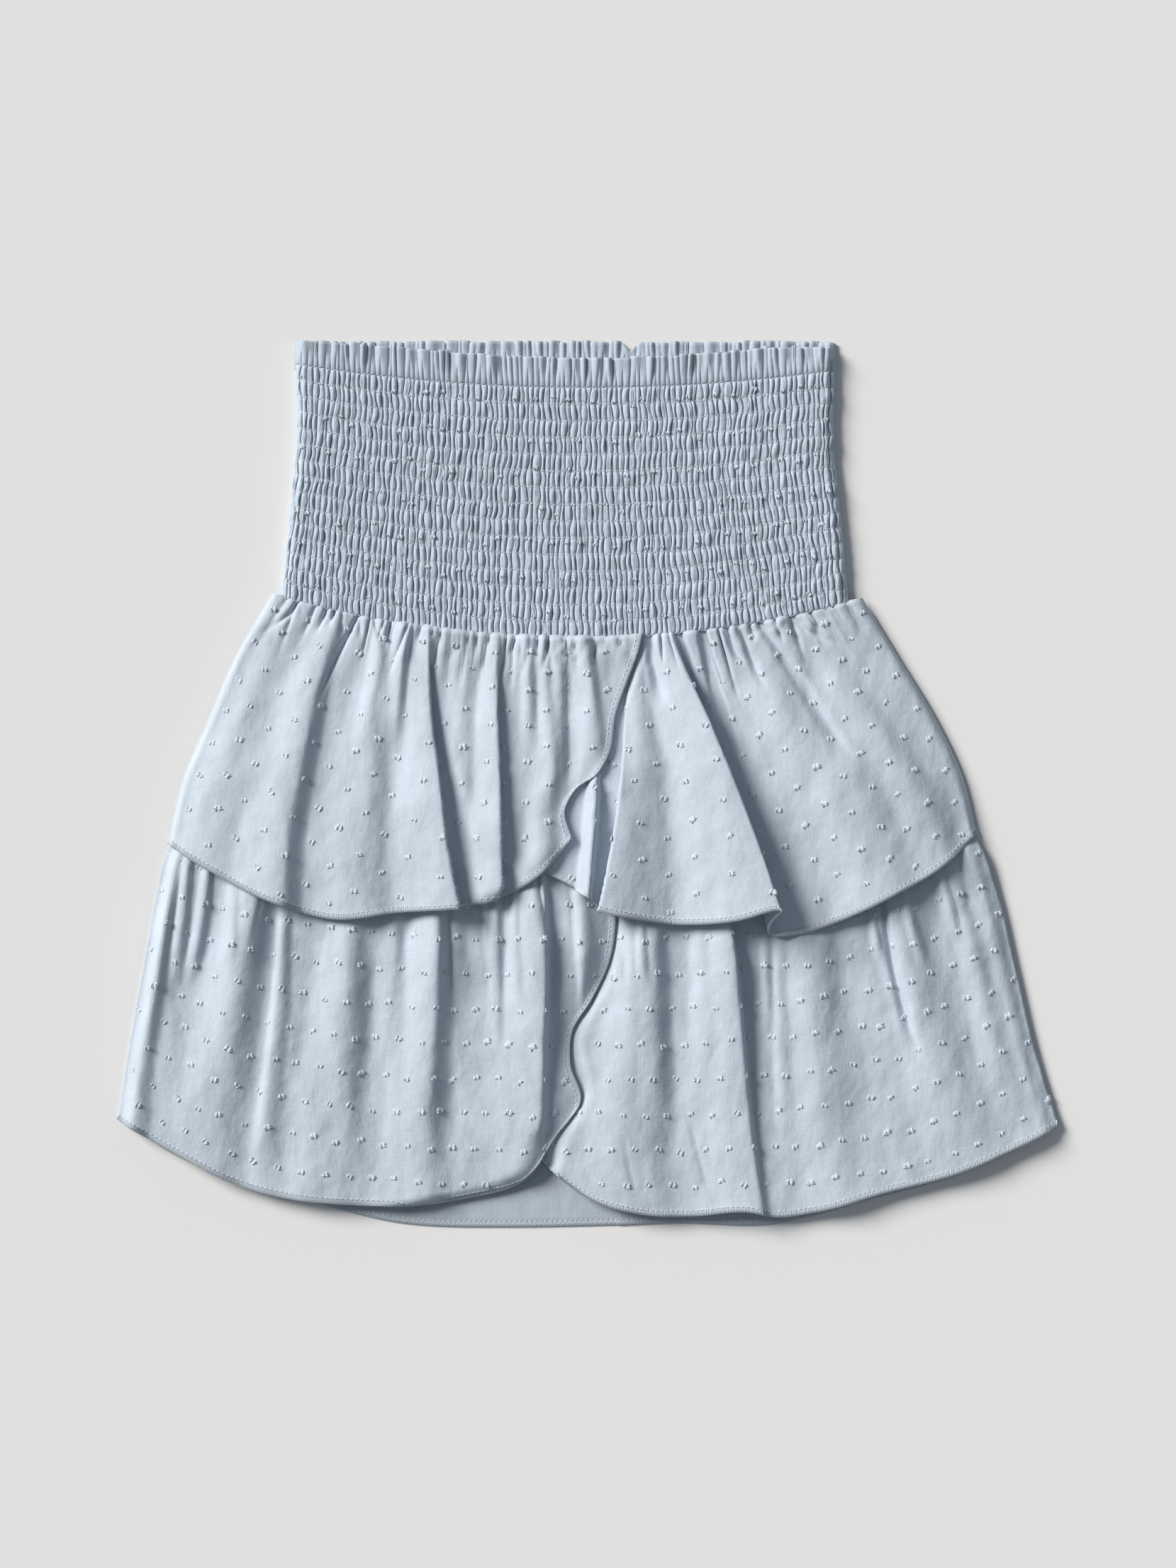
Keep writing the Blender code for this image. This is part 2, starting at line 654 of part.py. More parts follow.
def waistband_back(collection, holder):
    """Flat back of the band, with the frill that shows behind the front's lower edge."""
    mesh = bmesh.new()
    across = np.linspace(0.0, 1.0, FRILL_POINTS + 1)
    x = band_place(across, 0.0)[0]
    notch = NOTCH_DEPTH * np.clip(1 - np.abs(across - NOTCH_ACROSS) / NOTCH_HALF_WIDTH, 0, 1)
    wave = frill_wave(across, BACK_FRILL_SWING) + BACK_FRILL_SWING * side_calm(across)
    rows_up = [add_row(mesh, (x, BACK_TOP_Y - notch, wave + BACK_FRILL_WALL))]
    rows_down = [add_row(mesh, (x, BACK_TOP_Y - notch, wave))]
    fine = np.linspace(0.0, 1.0, RIBS + 1)
    foot_x = band_place(fine, 0.0)[0]
    foot_y = BACK_TOP_Y - BACK_FRILL_DEPTH + 0.0 * fine
    rows_up.append(add_row(mesh, (foot_x, foot_y, WALL + 0.0 * fine)))
    rows_down.append(add_row(mesh, (foot_x, foot_y, 0.0 * fine)))
    plain = np.linspace(0.0, 1.0, 13)
    for down in (0.2, 0.5, 0.8, 1.0):
        x, y = band_place(plain, down)
        rows_up.append(add_row(mesh, (x, y, WALL + 0.0 * plain)))
        rows_down.append(add_row(mesh, (x, y, 0.0 * plain)))
    loop = [*reversed(rows_up), *rows_down]
    for first, second in zip(loop, loop[1:] + loop[:1]):
        zip_rows(mesh, first, second)
    for end in (0, -1):
        zip_rows(mesh, [row[end] for row in rows_up], [row[end] for row in rows_down])
    bmesh.ops.recalc_face_normals(mesh, faces=mesh.faces)
    return finish_object(mesh, "waistband_back", SMOCKED, collection, holder)


def tiers(collection, holder):
    """Both tiers: a back, then a right front with the left front wrapped over it."""
    upper_downs = (0.0, 0.07, 0.17, 0.3, 0.44, 0.58, 0.72, 0.86, 1.0)
    lower_downs = (0.0, 0.07, 0.14, 0.21, 0.28, 0.38, 0.54, 0.7, 0.85, 1.0)
    for name, *panel in PANELS:
        downs = upper_downs if name.startswith("upper") else lower_downs
        rows, places = panel_rows(*panel, downs)
        cloth_wall(name, rows, places, CLOTH, collection, holder)

    rows, places = back_rows(UPPER, None, lambda x, y: 0.0 * x, (0.0, 0.25, 0.5, 0.75, 1.0), 16)
    cloth_wall("upper_tier_back", rows, places, CLOTH, collection, holder)
    downs = (0.0, 0.07, 0.14, 0.21, 0.28, 0.36, 0.65, 1.0)
    rows, places = back_rows(LOWER, LOWER_BACK_HEM, lower_back_height, downs, 36)
    cloth_wall("lower_tier_back", rows, places, INSIDE, collection, holder)


def main():
    for old in list(bpy.data.objects):
        bpy.data.objects.remove(old, do_unlink=True)
    collection = bpy.data.collections.new("mini_skirt")
    bpy.context.scene.collection.children.link(collection)
    holder = bpy.data.objects.new("laid_flat", None)
    collection.objects.link(holder)

    waistband_back(collection, holder)
    waistband_front(collection, holder)
    for name, level in (("yoke_back", LAYER), ("yoke_front", 2 * LAYER)):
        rows, places = yoke_rows(level, (0.0, 0.5, 1.0), 14)
        cloth_wall(name, rows, places, INSIDE, collection, holder)
    tiers(collection, holder)


main()
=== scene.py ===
"""Looks of the laid-out mini skirt: gathered cotton, shirred waistband, clipped dots and overlocked edges.

Lengths are in millimetres in the frame's own axes and are turned into metres where meshes are made.
"""
import math

import bpy
import numpy as np
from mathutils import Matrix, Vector


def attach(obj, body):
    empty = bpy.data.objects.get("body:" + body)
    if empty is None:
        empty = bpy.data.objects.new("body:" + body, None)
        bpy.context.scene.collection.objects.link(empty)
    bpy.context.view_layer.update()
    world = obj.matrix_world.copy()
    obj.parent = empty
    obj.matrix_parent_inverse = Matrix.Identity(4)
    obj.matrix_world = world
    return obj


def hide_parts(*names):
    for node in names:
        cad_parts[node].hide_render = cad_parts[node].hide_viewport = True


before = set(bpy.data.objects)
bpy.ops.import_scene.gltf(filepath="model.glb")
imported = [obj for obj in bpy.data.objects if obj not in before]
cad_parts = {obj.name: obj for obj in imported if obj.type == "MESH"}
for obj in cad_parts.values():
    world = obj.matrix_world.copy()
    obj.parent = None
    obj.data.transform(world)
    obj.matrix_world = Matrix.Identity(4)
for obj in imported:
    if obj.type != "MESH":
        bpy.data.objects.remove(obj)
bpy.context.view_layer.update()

MM = 0.001
SEED = 41

# Cloth
CLOTH = 0.45                   # thickness of a shell
SMOCKED_CLOTH = 1.0            # thickness of the waistband's hidden back, which is crushed by its shirring
WALL = 1.2                     # least wall of the solids that the shells replace
GAP = 0.3                      # between solids that lie on each other
LAYER = WALL + GAP
IN_WALL = 0.45                 # a shell's underside above its solid's underside
LAID = 0.1                     # a hidden sheet's underside above the level that it lies on

# Waistband
BAND_LEFT = -132.2
BAND_RIGHT = 111.7
SEAM_LEFT = -138.9
SEAM_RIGHT = 118.1
SEAM_Y_LEFT = 84.5
SEAM_Y_RIGHT = 81.9
SEAM_SAG = 17.6
FIRST_ROW_Y_LEFT = 189.1
FIRST_ROW_Y_RIGHT = 186.2
FIRST_ROW_SAG = 9.2
STITCH_ROWS = 16
RIBS = 100
BAND_LIFT = 2.6
BAND_SINK = 0.5
BAND_FLARE = 2.6
BACK_TOP_Y = 200.1
NOTCH_ACROSS = 0.62
NOTCH_DEPTH = 4.5
NOTCH_HALF_WIDTH = 0.016
LIP = 2.2

# Height of the front frill's top edge: share across, y
FRILL_TOP = (
    (0.00, 200.0),
    (0.17, 197.4),
    (0.37, 193.2),
    (0.55, 191.9),
    (0.76, 194.0),
    (0.90, 197.2),
    (1.00, 196.0),
)

# Side outlines of the tiers: share of the way down, x on the left, x on the right
UPPER_SIDES = (
    (0.00, -142.7, 123.8),
    (0.25, -158.9, 139.9),
    (0.50, -171.2, 156.0),
    (0.75, -183.0, 168.6),
    (1.00, -189.8, 175.4),
)
LOWER_SIDES = (
    (0.00, -184.0, 168.8),
    (0.08, -188.2, 173.7),
    (0.14, -191.2, 178.5),
    (0.25, -194.6, 184.3),
    (0.50, -200.8, 193.0),
    (0.75, -207.0, 201.4),
    (1.00, -212.2, 212.2),
)
UPPER_HEM = (-26.9, -22.1, 39.0, 4)    # y at the left, y at the right, sag, squareness
LOWER_HEM = (-151.0, -153.9, 41.0, 4)
LOWER_TOP = (-15.7, -10.9, 19.8, 2)
YOKE_INSET = 4.0
CENTRE_SEAM_X = 12.4
CENTRE_SEAM_STEP = 0.35

# Free edges of the wrapped panels: share across the tier, share of the way down
UPPER_LEFT_WRAP = (
    (0.628, 0.00), (0.617, 0.06), (0.597, 0.15), (0.573, 0.27),
    (0.557, 0.40), (0.535, 0.48), (0.506, 0.53), (0.491, 0.60), (0.500, 0.70),
)
UPPER_LEFT_HEM = (
    (0.000, 1.000), (0.054, 0.988), (0.142, 1.000), (0.208, 1.003), (0.281, 0.961),
    (0.355, 0.935), (0.406, 0.907), (0.456, 0.834), (0.500, 0.700),
)
UPPER_RIGHT_WRAP = (
    (0.308, 0.00), (0.343, 0.22), (0.386, 0.50), (0.428, 0.72), (0.465, 0.815),
)
UPPER_RIGHT_HEM = (
    (0.465, 0.815), (0.506, 0.880), (0.535, 0.940), (0.580, 0.980), (0.640, 1.005),
    (0.680, 0.998), (0.716, 0.965), (0.745, 1.062), (0.775, 1.070), (0.826, 1.055),
    (0.896, 1.029), (0.966, 1.020), (1.000, 1.000),
)
LOWER_LEFT_WRAP = (
    (0.556, 0.00), (0.551, 0.15), (0.538, 0.29), (0.515, 0.40),
    (0.492, 0.49), (0.489, 0.58), (0.500, 0.68), (0.474, 0.776),
)
LOWER_LEFT_HEM = (
    (0.000, 1.000), (0.062, 0.990), (0.119, 1.004), (0.176, 1.006), (0.236, 0.998),
    (0.289, 0.991), (0.364, 0.965), (0.429, 0.915), (0.474, 0.776),
)
LOWER_RIGHT_WRAP = (
    (0.349, 0.00), (0.361, 0.19), (0.381, 0.44), (0.409, 0.70), (0.444, 0.824),
)
LOWER_RIGHT_HEM = (
    (0.444, 0.824), (0.479, 0.915), (0.510, 0.968), (0.553, 1.000), (0.613, 1.006),
    (0.666, 0.995), (0.700, 1.013), (0.741, 1.006), (0.818, 0.978), (0.894, 0.980),
    (0.946, 0.983), (1.000, 1.000),
)
LOWER_BACK_HEM = (
    (0.000, 0.995), (0.100, 1.000), (0.198, 1.005), (0.307, 1.040), (0.417, 1.042),
    (0.530, 1.034), (0.598, 1.027), (0.685, 1.034), (0.818, 0.987), (0.893, 0.985),
    (1.000, 0.995),
)

# How far across each left panel reaches, from the top of the tier to its hem: way down, across
UPPER_COVER = (
    (0.00, 0.628), (0.15, 0.597), (0.27, 0.573), (0.40, 0.557), (0.53, 0.506),
    (0.60, 0.492), (0.75, 0.492), (0.83, 0.456), (0.91, 0.406), (1.00, 0.300),
)
LOWER_COVER = (
    (0.00, 0.556), (0.15, 0.551), (0.29, 0.538), (0.40, 0.515), (0.50, 0.492),
    (0.68, 0.500), (0.78, 0.474), (0.92, 0.429), (1.00, 0.300),
)

# Folds of each panel: across at the top, across at the hem, rise, width to the left,
# width to the right, way down where it starts, lean of its crest over its right side
UPPER_LEFT_FOLDS = (
    (0.035, 0.022, 2.5, 14, 22, 0.05, 0.0),
    (0.116, 0.137, 5.5, 26, 12, 0.00, 1.0),
    (0.200, 0.235, 3.5, 22, 22, 0.10, 0.0),
    (0.264, 0.347, 9.0, 28, 4, 0.00, 8.0),
    (0.383, 0.403, 7.0, 14, 3.5, 0.00, 6.0),
    (0.480, 0.462, 4.5, 16, 9, 0.20, 0.0),
    (0.560, 0.515, 4.5, 16, 14, 0.10, 0.0),
)
UPPER_RIGHT_FOLDS = (
    (0.552, 0.514, 8.5, 6, 3.0, 0.35, 1.0),
    (0.612, 0.540, 8.0, 3.5, 34, 0.15, -4.0),
    (0.670, 0.720, 14.5, 36, 8, 0.00, 14.5),
    (0.790, 0.880, 5.5, 26, 30, 0.05, 0.0),
    (0.900, 0.960, 3.0, 16, 12, 0.10, 0.0),
)
LOWER_LEFT_FOLDS = (
    (0.014, 0.018, 4.0, 8, 7, 0.05, 0.0),
    (0.118, 0.094, 7.0, 28, 19, 0.00, 0.0),
    (0.230, 0.215, 4.5, 22, 24, 0.15, 0.0),
    (0.331, 0.322, 8.0, 24, 17, 0.00, 3.0),
    (0.462, 0.446, 7.5, 30, 8, 0.00, 3.0),
    (0.530, 0.490, 2.5, 14, 12, 0.15, 0.0),
)
LOWER_RIGHT_FOLDS = (
    (0.585, 0.540, 5.5, 24, 26, 0.10, 0.0),
    (0.680, 0.680, 8.0, 30, 6, 0.02, 3.5),
    (0.765, 0.775, 5.5, 24, 26, 0.10, 0.0),
    (0.870, 0.910, 5.0, 22, 24, 0.00, 0.0),
    (0.950, 0.965, 2.5, 12, 10, 0.10, 0.0),
)

# Smaller creases, three points down each: y, x, y, x, y, x,
# then rise (a trough is below zero), width to the left and width to the right
UPPER_LEFT_CREASES = (
    (78, -92, 50, -95, 8, -102, 2.2, 8, 10),
    (78, -81, 47, -85, 8, -88, 3.2, 11, 5),
    (66, -56, 18, -56, -40, -55, 1.2, 9, 9),
    (78, -28, 47, -27, 8, -26, 1.6, 5, 5),
    (78, -20, 47, -19, 8, -18, 1.5, 5, 4),
    (78, -12, 34, -12, -17, -11, 2.2, 10, 3),
    (78, -3, 47, 1, 5, 6, 2.8, 13, 5),
    (84, -128, 72, -140, 66, -150, -1.8, 4, 3),
    (66, -146, 60, -154, 54, -161, -0.9, 4, 3),
)
UPPER_RIGHT_CREASES = (
    (66, 20, 34, 24, -14, 36, 1.6, 12, 8),
    (76, 25, 52, 30, 31, 34, -3.0, 5, 3.5),
    (76, 39, 53, 44, 28, 53, -2.6, 6, 3.5),
    (78, 49, 50, 56, 8, 69, -3.6, 6, 3.5),
    (78, 59, 64, 64, 52, 71, -2.0, 4, 3),
    (80, 64, 58, 73, 39, 81, -2.0, 4, 3),
    (82, 71, 55, 90, 5, 121, -2.6, 8, 5),
    (82, 87, 67, 102, 61, 116, -1.6, 5, 4),
    (84, 115, 74, 121, 66, 124, -1.2, 4, 4),
    (56, 102, 15, 118, -43, 131, 1.8, 24, 20),
    (62, 133, 52, 140, 44, 144, -0.7, 4, 4),
)
LOWER_LEFT_CREASES = (
    (-28, -179, -56, -182, -94, -186, 2.2, 6, 4),
    (-30, -170, -56, -173, -94, -180, 2.4, 6, 4),
    (-38, -159, -59, -160, -88, -162, 1.3, 6, 5),
    (-48, -137, -88, -139, -185, -150, 2.2, 5, 9),
    (-46, -106, -94, -107, -185, -112, 1.5, 14, 12),
    (-46, -87, -100, -88, -158, -91, 1.6, 14, 9),
    (-46, -61, -72, -60, -100, -59, 1.5, 3, 8),
    (-38, -42, -78, -41, -132, -41, 1.2, 6, 4),
    (-38, -33, -72, -33, -110, -32, 1.2, 5, 4),
    (-38, -6, -75, -3, -120, -2, 3.0, 3, 12),
)
LOWER_RIGHT_CREASES = (
    (-48, 16, -68, 16, -94, 17, -1.8, 2.5, 2.5),
    (-52, 24, -72, 24, -94, 25, 1.6, 4, 4),
    (-52, 30, -104, 31, -170, 34, 2.3, 12, 9),
    (-52, 49, -94, 51, -145, 52, 1.5, 9, 8),
    (-52, 86, -94, 86, -180, 90, 1.3, 5, 7),
    (-24, 173, -81, 190, -158, 205, -0.8, 1.5, 1.5),
    (-54, 79, -88, 80, -120, 81, 1.1, 4, 5),
    (-44, 125, -65, 129, -84, 133, 2.0, 4, 2.5),
    (-44, 131, -91, 140, -129, 151, -3.4, 5, 3),
    (-38, 138, -62, 145, -88, 153, 1.8, 4, 4),
    (-28, 153, -52, 162, -75, 167, 2.4, 7, 3),
    (-152, 46, -169, 50, -187, 56, -0.5, 2, 3),
    (-158, 16, -171, 18, -187, 22, -0.4, 2, 3),
)

# Strength of the folds at the top and at the hem of each tier
UPPER_FOLDING = (0.62, 1.0)
LOWER_FOLDING = (1.25, 0.36)

# How far each tier springs up off what it lies on, and the height of its faint ripples
UPPER_SPRING = 5.2
LOWER_SPRING = 3.0
RIPPLE_HEIGHT = 0.8

# Height above the upper hem where the lower tier starts to come down, and the length that it takes
DROP_START = 32.0
DROP_LENGTH = 26.0

# How deep a gathered top tucks in under the waistband, and how far it puffs out below
TUCK = 1.3
PUFF = 1.8

# Distance from the side seams over which folds grow: on the upper tier, on the lower one and more at its top
UPPER_CALM = 12.0
LOWER_CALM = 7.0
LOWER_TOP_CALM = 14.0

# How far a free edge curls up, and how far in from it the cloth still does
HEM_CURL = 1.1
HEM_CURL_REACH = 6.0
WRAP_CURL = 0.5
WRAP_CURL_REACH = 3.0

# Clipped dots: spacing of the cloth's repeat, the lengths of the tiers that it runs down,
# bare strips at edges and under a hem, and rows, columns and size on the waistband
DOT_COLUMN = 11.2
DOT_DROP = 16.0
UPPER_LENGTH = 124.0
UPPER_DOT_ROWS = 9
LOWER_LENGTH = 163.0
LOWER_DOT_ROWS = 11
DOT_MARGIN = 5.0
DOT_HIDDEN = 8.0
DOT_MISS = 1.6                 # farthest that a dot may be moved to sit on a point of the cloth
BAND_DOT_ROWS = 7.05
BAND_DOT_COLUMNS = 34.5
BAND_DOT_SIZE = 0.66

# Overlocked edges
EDGE_WIDTH = 2.6
EDGE_PITCH = 0.60
NEEDLE_PITCH = 2.3

# Colours, linear
COTTON = (0.495, 0.564, 0.640)
# Plain wrong side of the cotton, made darker still by painted shade: it stands in for the shadow that the
# front hem casts on the strip of the back below it
COTTON_INSIDE_PAINTED_SHADE = (0.430, 0.490, 0.555)
# The same cotton made a little darker by painted shade, for the shade between the ribs of the shirred
# waistband
COTTON_SMOCKED_PAINTED_SHADE = (0.480, 0.552, 0.634)
# The same cotton made darker by painted shade, for the shade among the frill's pleats
COTTON_FRILLED_PAINTED_SHADE = (0.432, 0.498, 0.574)
DOT_THREAD = (0.605, 0.675, 0.748)
EDGE_THREAD = (0.620, 0.685, 0.755)
FLOOR = (0.78, 0.78, 0.78)

# Light
KEY_BEARING = 146.0            # degrees from +X towards +Y
KEY_HEIGHT = 31.0
KEY_SOFTNESS = 26.0
KEY_ENERGY = 4.62
KEY_COLOUR = (1.0, 0.965, 0.925)
FILL_STRENGTH = 0.24
FILL_COLOUR = (0.81, 0.905, 1.0)
FLOOR_REACH = 9000.0
FLOOR_LEVEL = -0.05

# Camera: height and far limit in metres, lens and sensor in millimetres
CAMERA_HEIGHT = 1.967
CAMERA_REACH = 20.0
LENS = 100.0
SENSOR_WIDTH = 36.0


# Curves and small sums

def column(table, index):
    return np.array([row[index] for row in table], float)


def through(knots, values, at):
    """Smooth curve through a short table, straight on beyond its ends."""
    slopes = np.gradient(values, knots)
    held = np.clip(at, knots[0], knots[-1])
    left = np.clip(np.searchsorted(knots, held) - 1, 0, len(knots) - 2)
    span = knots[left + 1] - knots[left]
    part = (held - knots[left]) / span
    curve = (1 + 2 * part) * (1 - part) ** 2 * values[left]
    curve = curve + part ** 2 * (3 - 2 * part) * values[left + 1]
    curve = curve + part * (1 - part) ** 2 * span * slopes[left]
    curve = curve - part ** 2 * (1 - part) * span * slopes[left + 1]
    beyond = np.where(at > held, slopes[-1], slopes[0]) * (at - held)
    return curve + beyond


def follow(table, at, knots=0, values=1):
    """Smooth curve through two columns of a short table."""
    return through(column(table, knots), column(table, values), at)


def unit(vectors):
    """Vectors along the last axis, made one long."""
    return vectors / np.maximum(np.linalg.norm(vectors, axis=-1, keepdims=True), 1e-9)


def share_grid(columns, rows):
    """Shares across and down a grid of points."""
    return np.meshgrid(np.linspace(0, 1, columns), np.linspace(0, 1, rows))


def ease(share):
    """Soft step from 0 to 1."""
    held = np.clip(share, 0.0, 1.0)
    return held * held * (3 - 2 * held)


def arch(across, left, right, sag, squareness):
    """Line from left to right that hangs by the sag in its middle."""
    return left + (right - left) * across - sag * (1 - np.abs(2 * across - 1) ** squareness)


def seam_y(x):
    """Waist seam, a shallow arc from side to side."""
    middle = (SEAM_LEFT + SEAM_RIGHT) / 2
    half = (SEAM_RIGHT - SEAM_LEFT) / 2
    share = (x - middle) / half
    level = (SEAM_Y_LEFT + SEAM_Y_RIGHT) / 2 + share * (SEAM_Y_RIGHT - SEAM_Y_LEFT) / 2
    return level - SEAM_SAG * (1 - share ** 2)


class Fan:
    """Lying outline of one tier: across 0 to 1 from left to right, down 0 at its top and 1 at its hem."""

    def __init__(self, sides, top, hem, inset):
        self.downs = column(sides, 0)
        self.lefts = column(sides, 1) + inset
        self.rights = column(sides, 2) - inset
        self.top = top
        self.hem = hem

    def ends(self, down):
        return through(self.downs, self.lefts, down), through(self.downs, self.rights, down)

    def place(self, across, down):
        left, right = self.ends(down)
        x = left + (right - left) * across
        top_left, top_right = self.ends(0.0 * down)
        top_x = top_left + (top_right - top_left) * across
        y = (1 - down) * self.top(top_x, across) + down * arch(across, *self.hem)
        return x, y

    def width(self, down):
        left, right = self.ends(down)
        return right - left

    def side_distance(self, across, down):
        return np.minimum(across, 1 - across) * self.width(down)


UPPER = Fan(UPPER_SIDES, lambda x, across: seam_y(x) + 0.6, UPPER_HEM, CLOTH)
LOWER = Fan(LOWER_SIDES, lambda x, across: arch(across, *LOWER_TOP), LOWER_HEM, 0.0)


def coons(top, hem, left, right, across, down):
    """Patch between four edges, each a function of its own share."""
    sides = (1 - across) * left(down) + across * right(down)
    ends = (1 - down) * top(across) + down * hem(across)
    corners = (1 - down) * ((1 - across) * top(0.0) + across * top(1.0))
    corners = corners + down * ((1 - across) * hem(0.0) + across * hem(1.0))
    return sides + ends - corners


def run(table, index):
    """Curve along an edge table, at a share of its length."""
    steps = np.hypot(np.diff(column(table, 0)), np.diff(column(table, 1)) * 0.4)
    knots = np.concatenate([[0.0], np.cumsum(steps)]) / np.sum(steps)
    return lambda share: through(knots, column(table, index), share)


def top_spacing(folds, hem, wrap, side):
    """Shares of a panel's width, at its ends and crests, with the places they have along its top."""
    left, right = (0.0, wrap[0][0]) if side == "left" else (wrap[0][0], 1.0)
    share = np.linspace(0.0, 1.0, 201)
    crests = np.interp([fold[1] for fold in folds], run(hem, 0)(share), share)
    kept = [i for i, crest in enumerate(crests) if 0.02 < crest < 0.98]
    knots = [0.0, *[crests[i] for i in kept], 1.0]
    return np.array(knots), np.array([left, *[folds[i][0] for i in kept], right])


def panel_shares(folds, hem, wrap, side, u, v):
    """A panel's own shares turned into its tier's, with one wrapped edge and one side seam."""
    knots, places = top_spacing(folds, hem, wrap, side)
    tops = (lambda s: np.interp(s, knots, places), lambda s: 0.0 * s)
    seams = (lambda s: float(side == "right") + 0.0 * s, lambda s: s)
    shares = []
    for axis in (0, 1):
        edges = (seams[axis], run(wrap, axis))
        left, right = edges if side == "left" else edges[::-1]
        shares.append(coons(tops[axis], run(hem, axis), left, right, u, v))
    return shares


# Heights of the lying layers

def bump(offset, left, right):
    """Rounded ridge across a fold: 1 on its crest, 0 at both feet."""
    side = np.where(offset < 0, left, right)
    return 0.5 + 0.5 * np.cos(math.pi * np.clip(offset / side, -1, 1))


def fold_field(folds, fan, across, down, strong_top, strong_hem):
    """Rise of a panel's folds, and how far their crests lean sideways."""
    width = fan.width(down)
    rise_sum = 0.0 * across
    lean_sum = 0.0 * across
    for top, hem, rise, left_width, right_width, start, lean in folds:
        crest = top + (hem - top) * down
        offset = (across - crest) * width
        spread = 0.45 + 0.55 * np.clip(down, 0, 1)
        shape = bump(offset, left_width * spread, right_width * spread)
        growth = ease((down - start) / 0.45 + 0.25) * (strong_top + (strong_hem - strong_top) * down)
        rise_sum = rise_sum + rise * growth * shape
        lean_sum = lean_sum + lean * growth * (0.6 + 0.4 * down ** 2) * shape ** 2
    return rise_sum, lean_sum


def crease_field(creases, x, y):
    """Ridges and troughs given one by one, each with soft ends."""
    total = 0.0 * x
    for y0, x0, y1, x1, y2, x2, rise, left, right in creases:
        line = through(np.array([y2, y1, y0], float), np.array([x2, x1, x0], float), y)
        along = (y0 - y) / (y0 - y2)
        spread = 0.55 + 0.55 * np.clip(along, 0, 1)
        fade = ease(along / 0.14) * ease((1 - along) / 0.35)
        total = total + rise * fade * bump(x - line, left * spread, right * spread)
    return total


def gather_gaps(seed, low, high, count, longest):
    """Troughs under a gathered seam: place, depth, width to the left and right, length and drift."""
    random = np.random.default_rng(seed)
    places = low + (high - low) * (np.arange(count) + 0.5 + random.uniform(-0.4, 0.4, count)) / count
    depths = random.uniform(1.0, 3.8, count)
    lefts = random.uniform(0.8, 2.6, count)
    rights = random.uniform(0.7, 1.6, count)
    lengths = longest * random.uniform(0.15, 1.0, count) ** 2 + 0.04
    drifts = random.uniform(-0.06, 0.06, count)
    return np.stack([places, depths, lefts, rights, lengths, drifts], axis=1)


def gather_field(gaps, fan, across, down):
    width = fan.width(down)
    total = 0.0 * across
    for place, depth, left, right, length, drift in gaps:
        offset = (across - place - drift * down) * width
        spread = np.where(offset < 0, left, right) * (1 + 3.5 * np.clip(down, 0, 1))
        shape = np.clip(1 - np.abs(offset) / spread, 0, 1) ** 1.5
        total = np.minimum(total, -depth * shape * (1 - ease(down / length)))
    return total


def seam_wrinkles(seed, low, high, count):
    """Short slanting creases of the crushed cloth just under the waist seam."""
    random = np.random.default_rng(seed)
    rows = []
    for index in range(count):
        x = low + (high - low) * (index + random.uniform(0, 1)) / count
        top = float(seam_y(x)) + 4.0
        length = random.uniform(8, 24)
        slant = random.uniform(-0.45, 0.45) * length
        bend = slant * random.uniform(0.2, 0.7)
        rise = random.uniform(-1.3, 0.8)
        rows.append((top, x, top - length / 2, x + bend, top - length, x + slant, rise,
                     random.uniform(1.4, 3.0), random.uniform(1.4, 3.0)))
    return tuple(rows)


def ripple(seed, across, down):
    """Faint uneven ripples that run down a tier."""
    random = np.random.default_rng(seed)
    total = 0.0 * across
    for index in range(12):
        wide = 4 + 2.1 * index
        bend = 0.9 * np.sin(2 * math.pi * (1.3 * down + random.uniform(0, 1)))
        turn = 2 * math.pi * (wide * across + random.uniform(-0.9, 0.9) * down)
        total = total + np.sin(turn + random.uniform(0, 6.3) + bend) / (1 + 0.45 * index)
    return RIPPLE_HEIGHT * total / 3


def soft_floor(height, floor):
    """Keeps a layer clear of what lies under it, with a rounded turn."""
    softness = 0.35
    return floor + softness * np.logaddexp(0.0, (height - floor) / softness)


def past_edge(edge, fan, across, down, knots=0, values=1):
    """Distance to the right of an edge given by a table, negative on its left."""
    return (across - follow(edge, np.clip(down, 0, 1), knots, values)) * fan.width(down)


def clear_of_cover(cover, fan, across, down):
    """0 where another panel lies on top, rising to 1 just past its edge."""
    return ease((past_edge(cover, fan, across, down) + 0.5) / 6.0)


def over_panel(hidden_wrap, fan, across, down, step):
    """A step up where a left panel lies on the right one's hidden edge."""
    return step * ease((past_edge(hidden_wrap, fan, across, down, 1, 0) + 20.0) / 10.0)


def settled(cover, fan, across, down, lowest):
    """A left panel settles on the right one towards its wrapped edge."""
    return lowest + (1 - lowest) * ease(-past_edge(cover, fan, across, down) / 16.0)


def puffed_seam(gathers, down):
    """The cloth comes up from under the waistband and puffs out between its gathers."""
    tucked = TUCK * (1 - ease(down / 0.010))
    puff = PUFF * (1 + gathers / 3.4)
    return puff * ease(down / 0.014) * (1 - ease(down / 0.25)) - tucked


def drop_share(x, y):
    """1 where the lower tier lies on the upper tier's back, 0 where it has come down past its hem."""
    left, right = UPPER.ends(1.0)
    across = np.clip((x - left) / (right - left), 0, 1)
    return ease((y - arch(across, *UPPER_HEM) + DROP_START) / DROP_LENGTH)


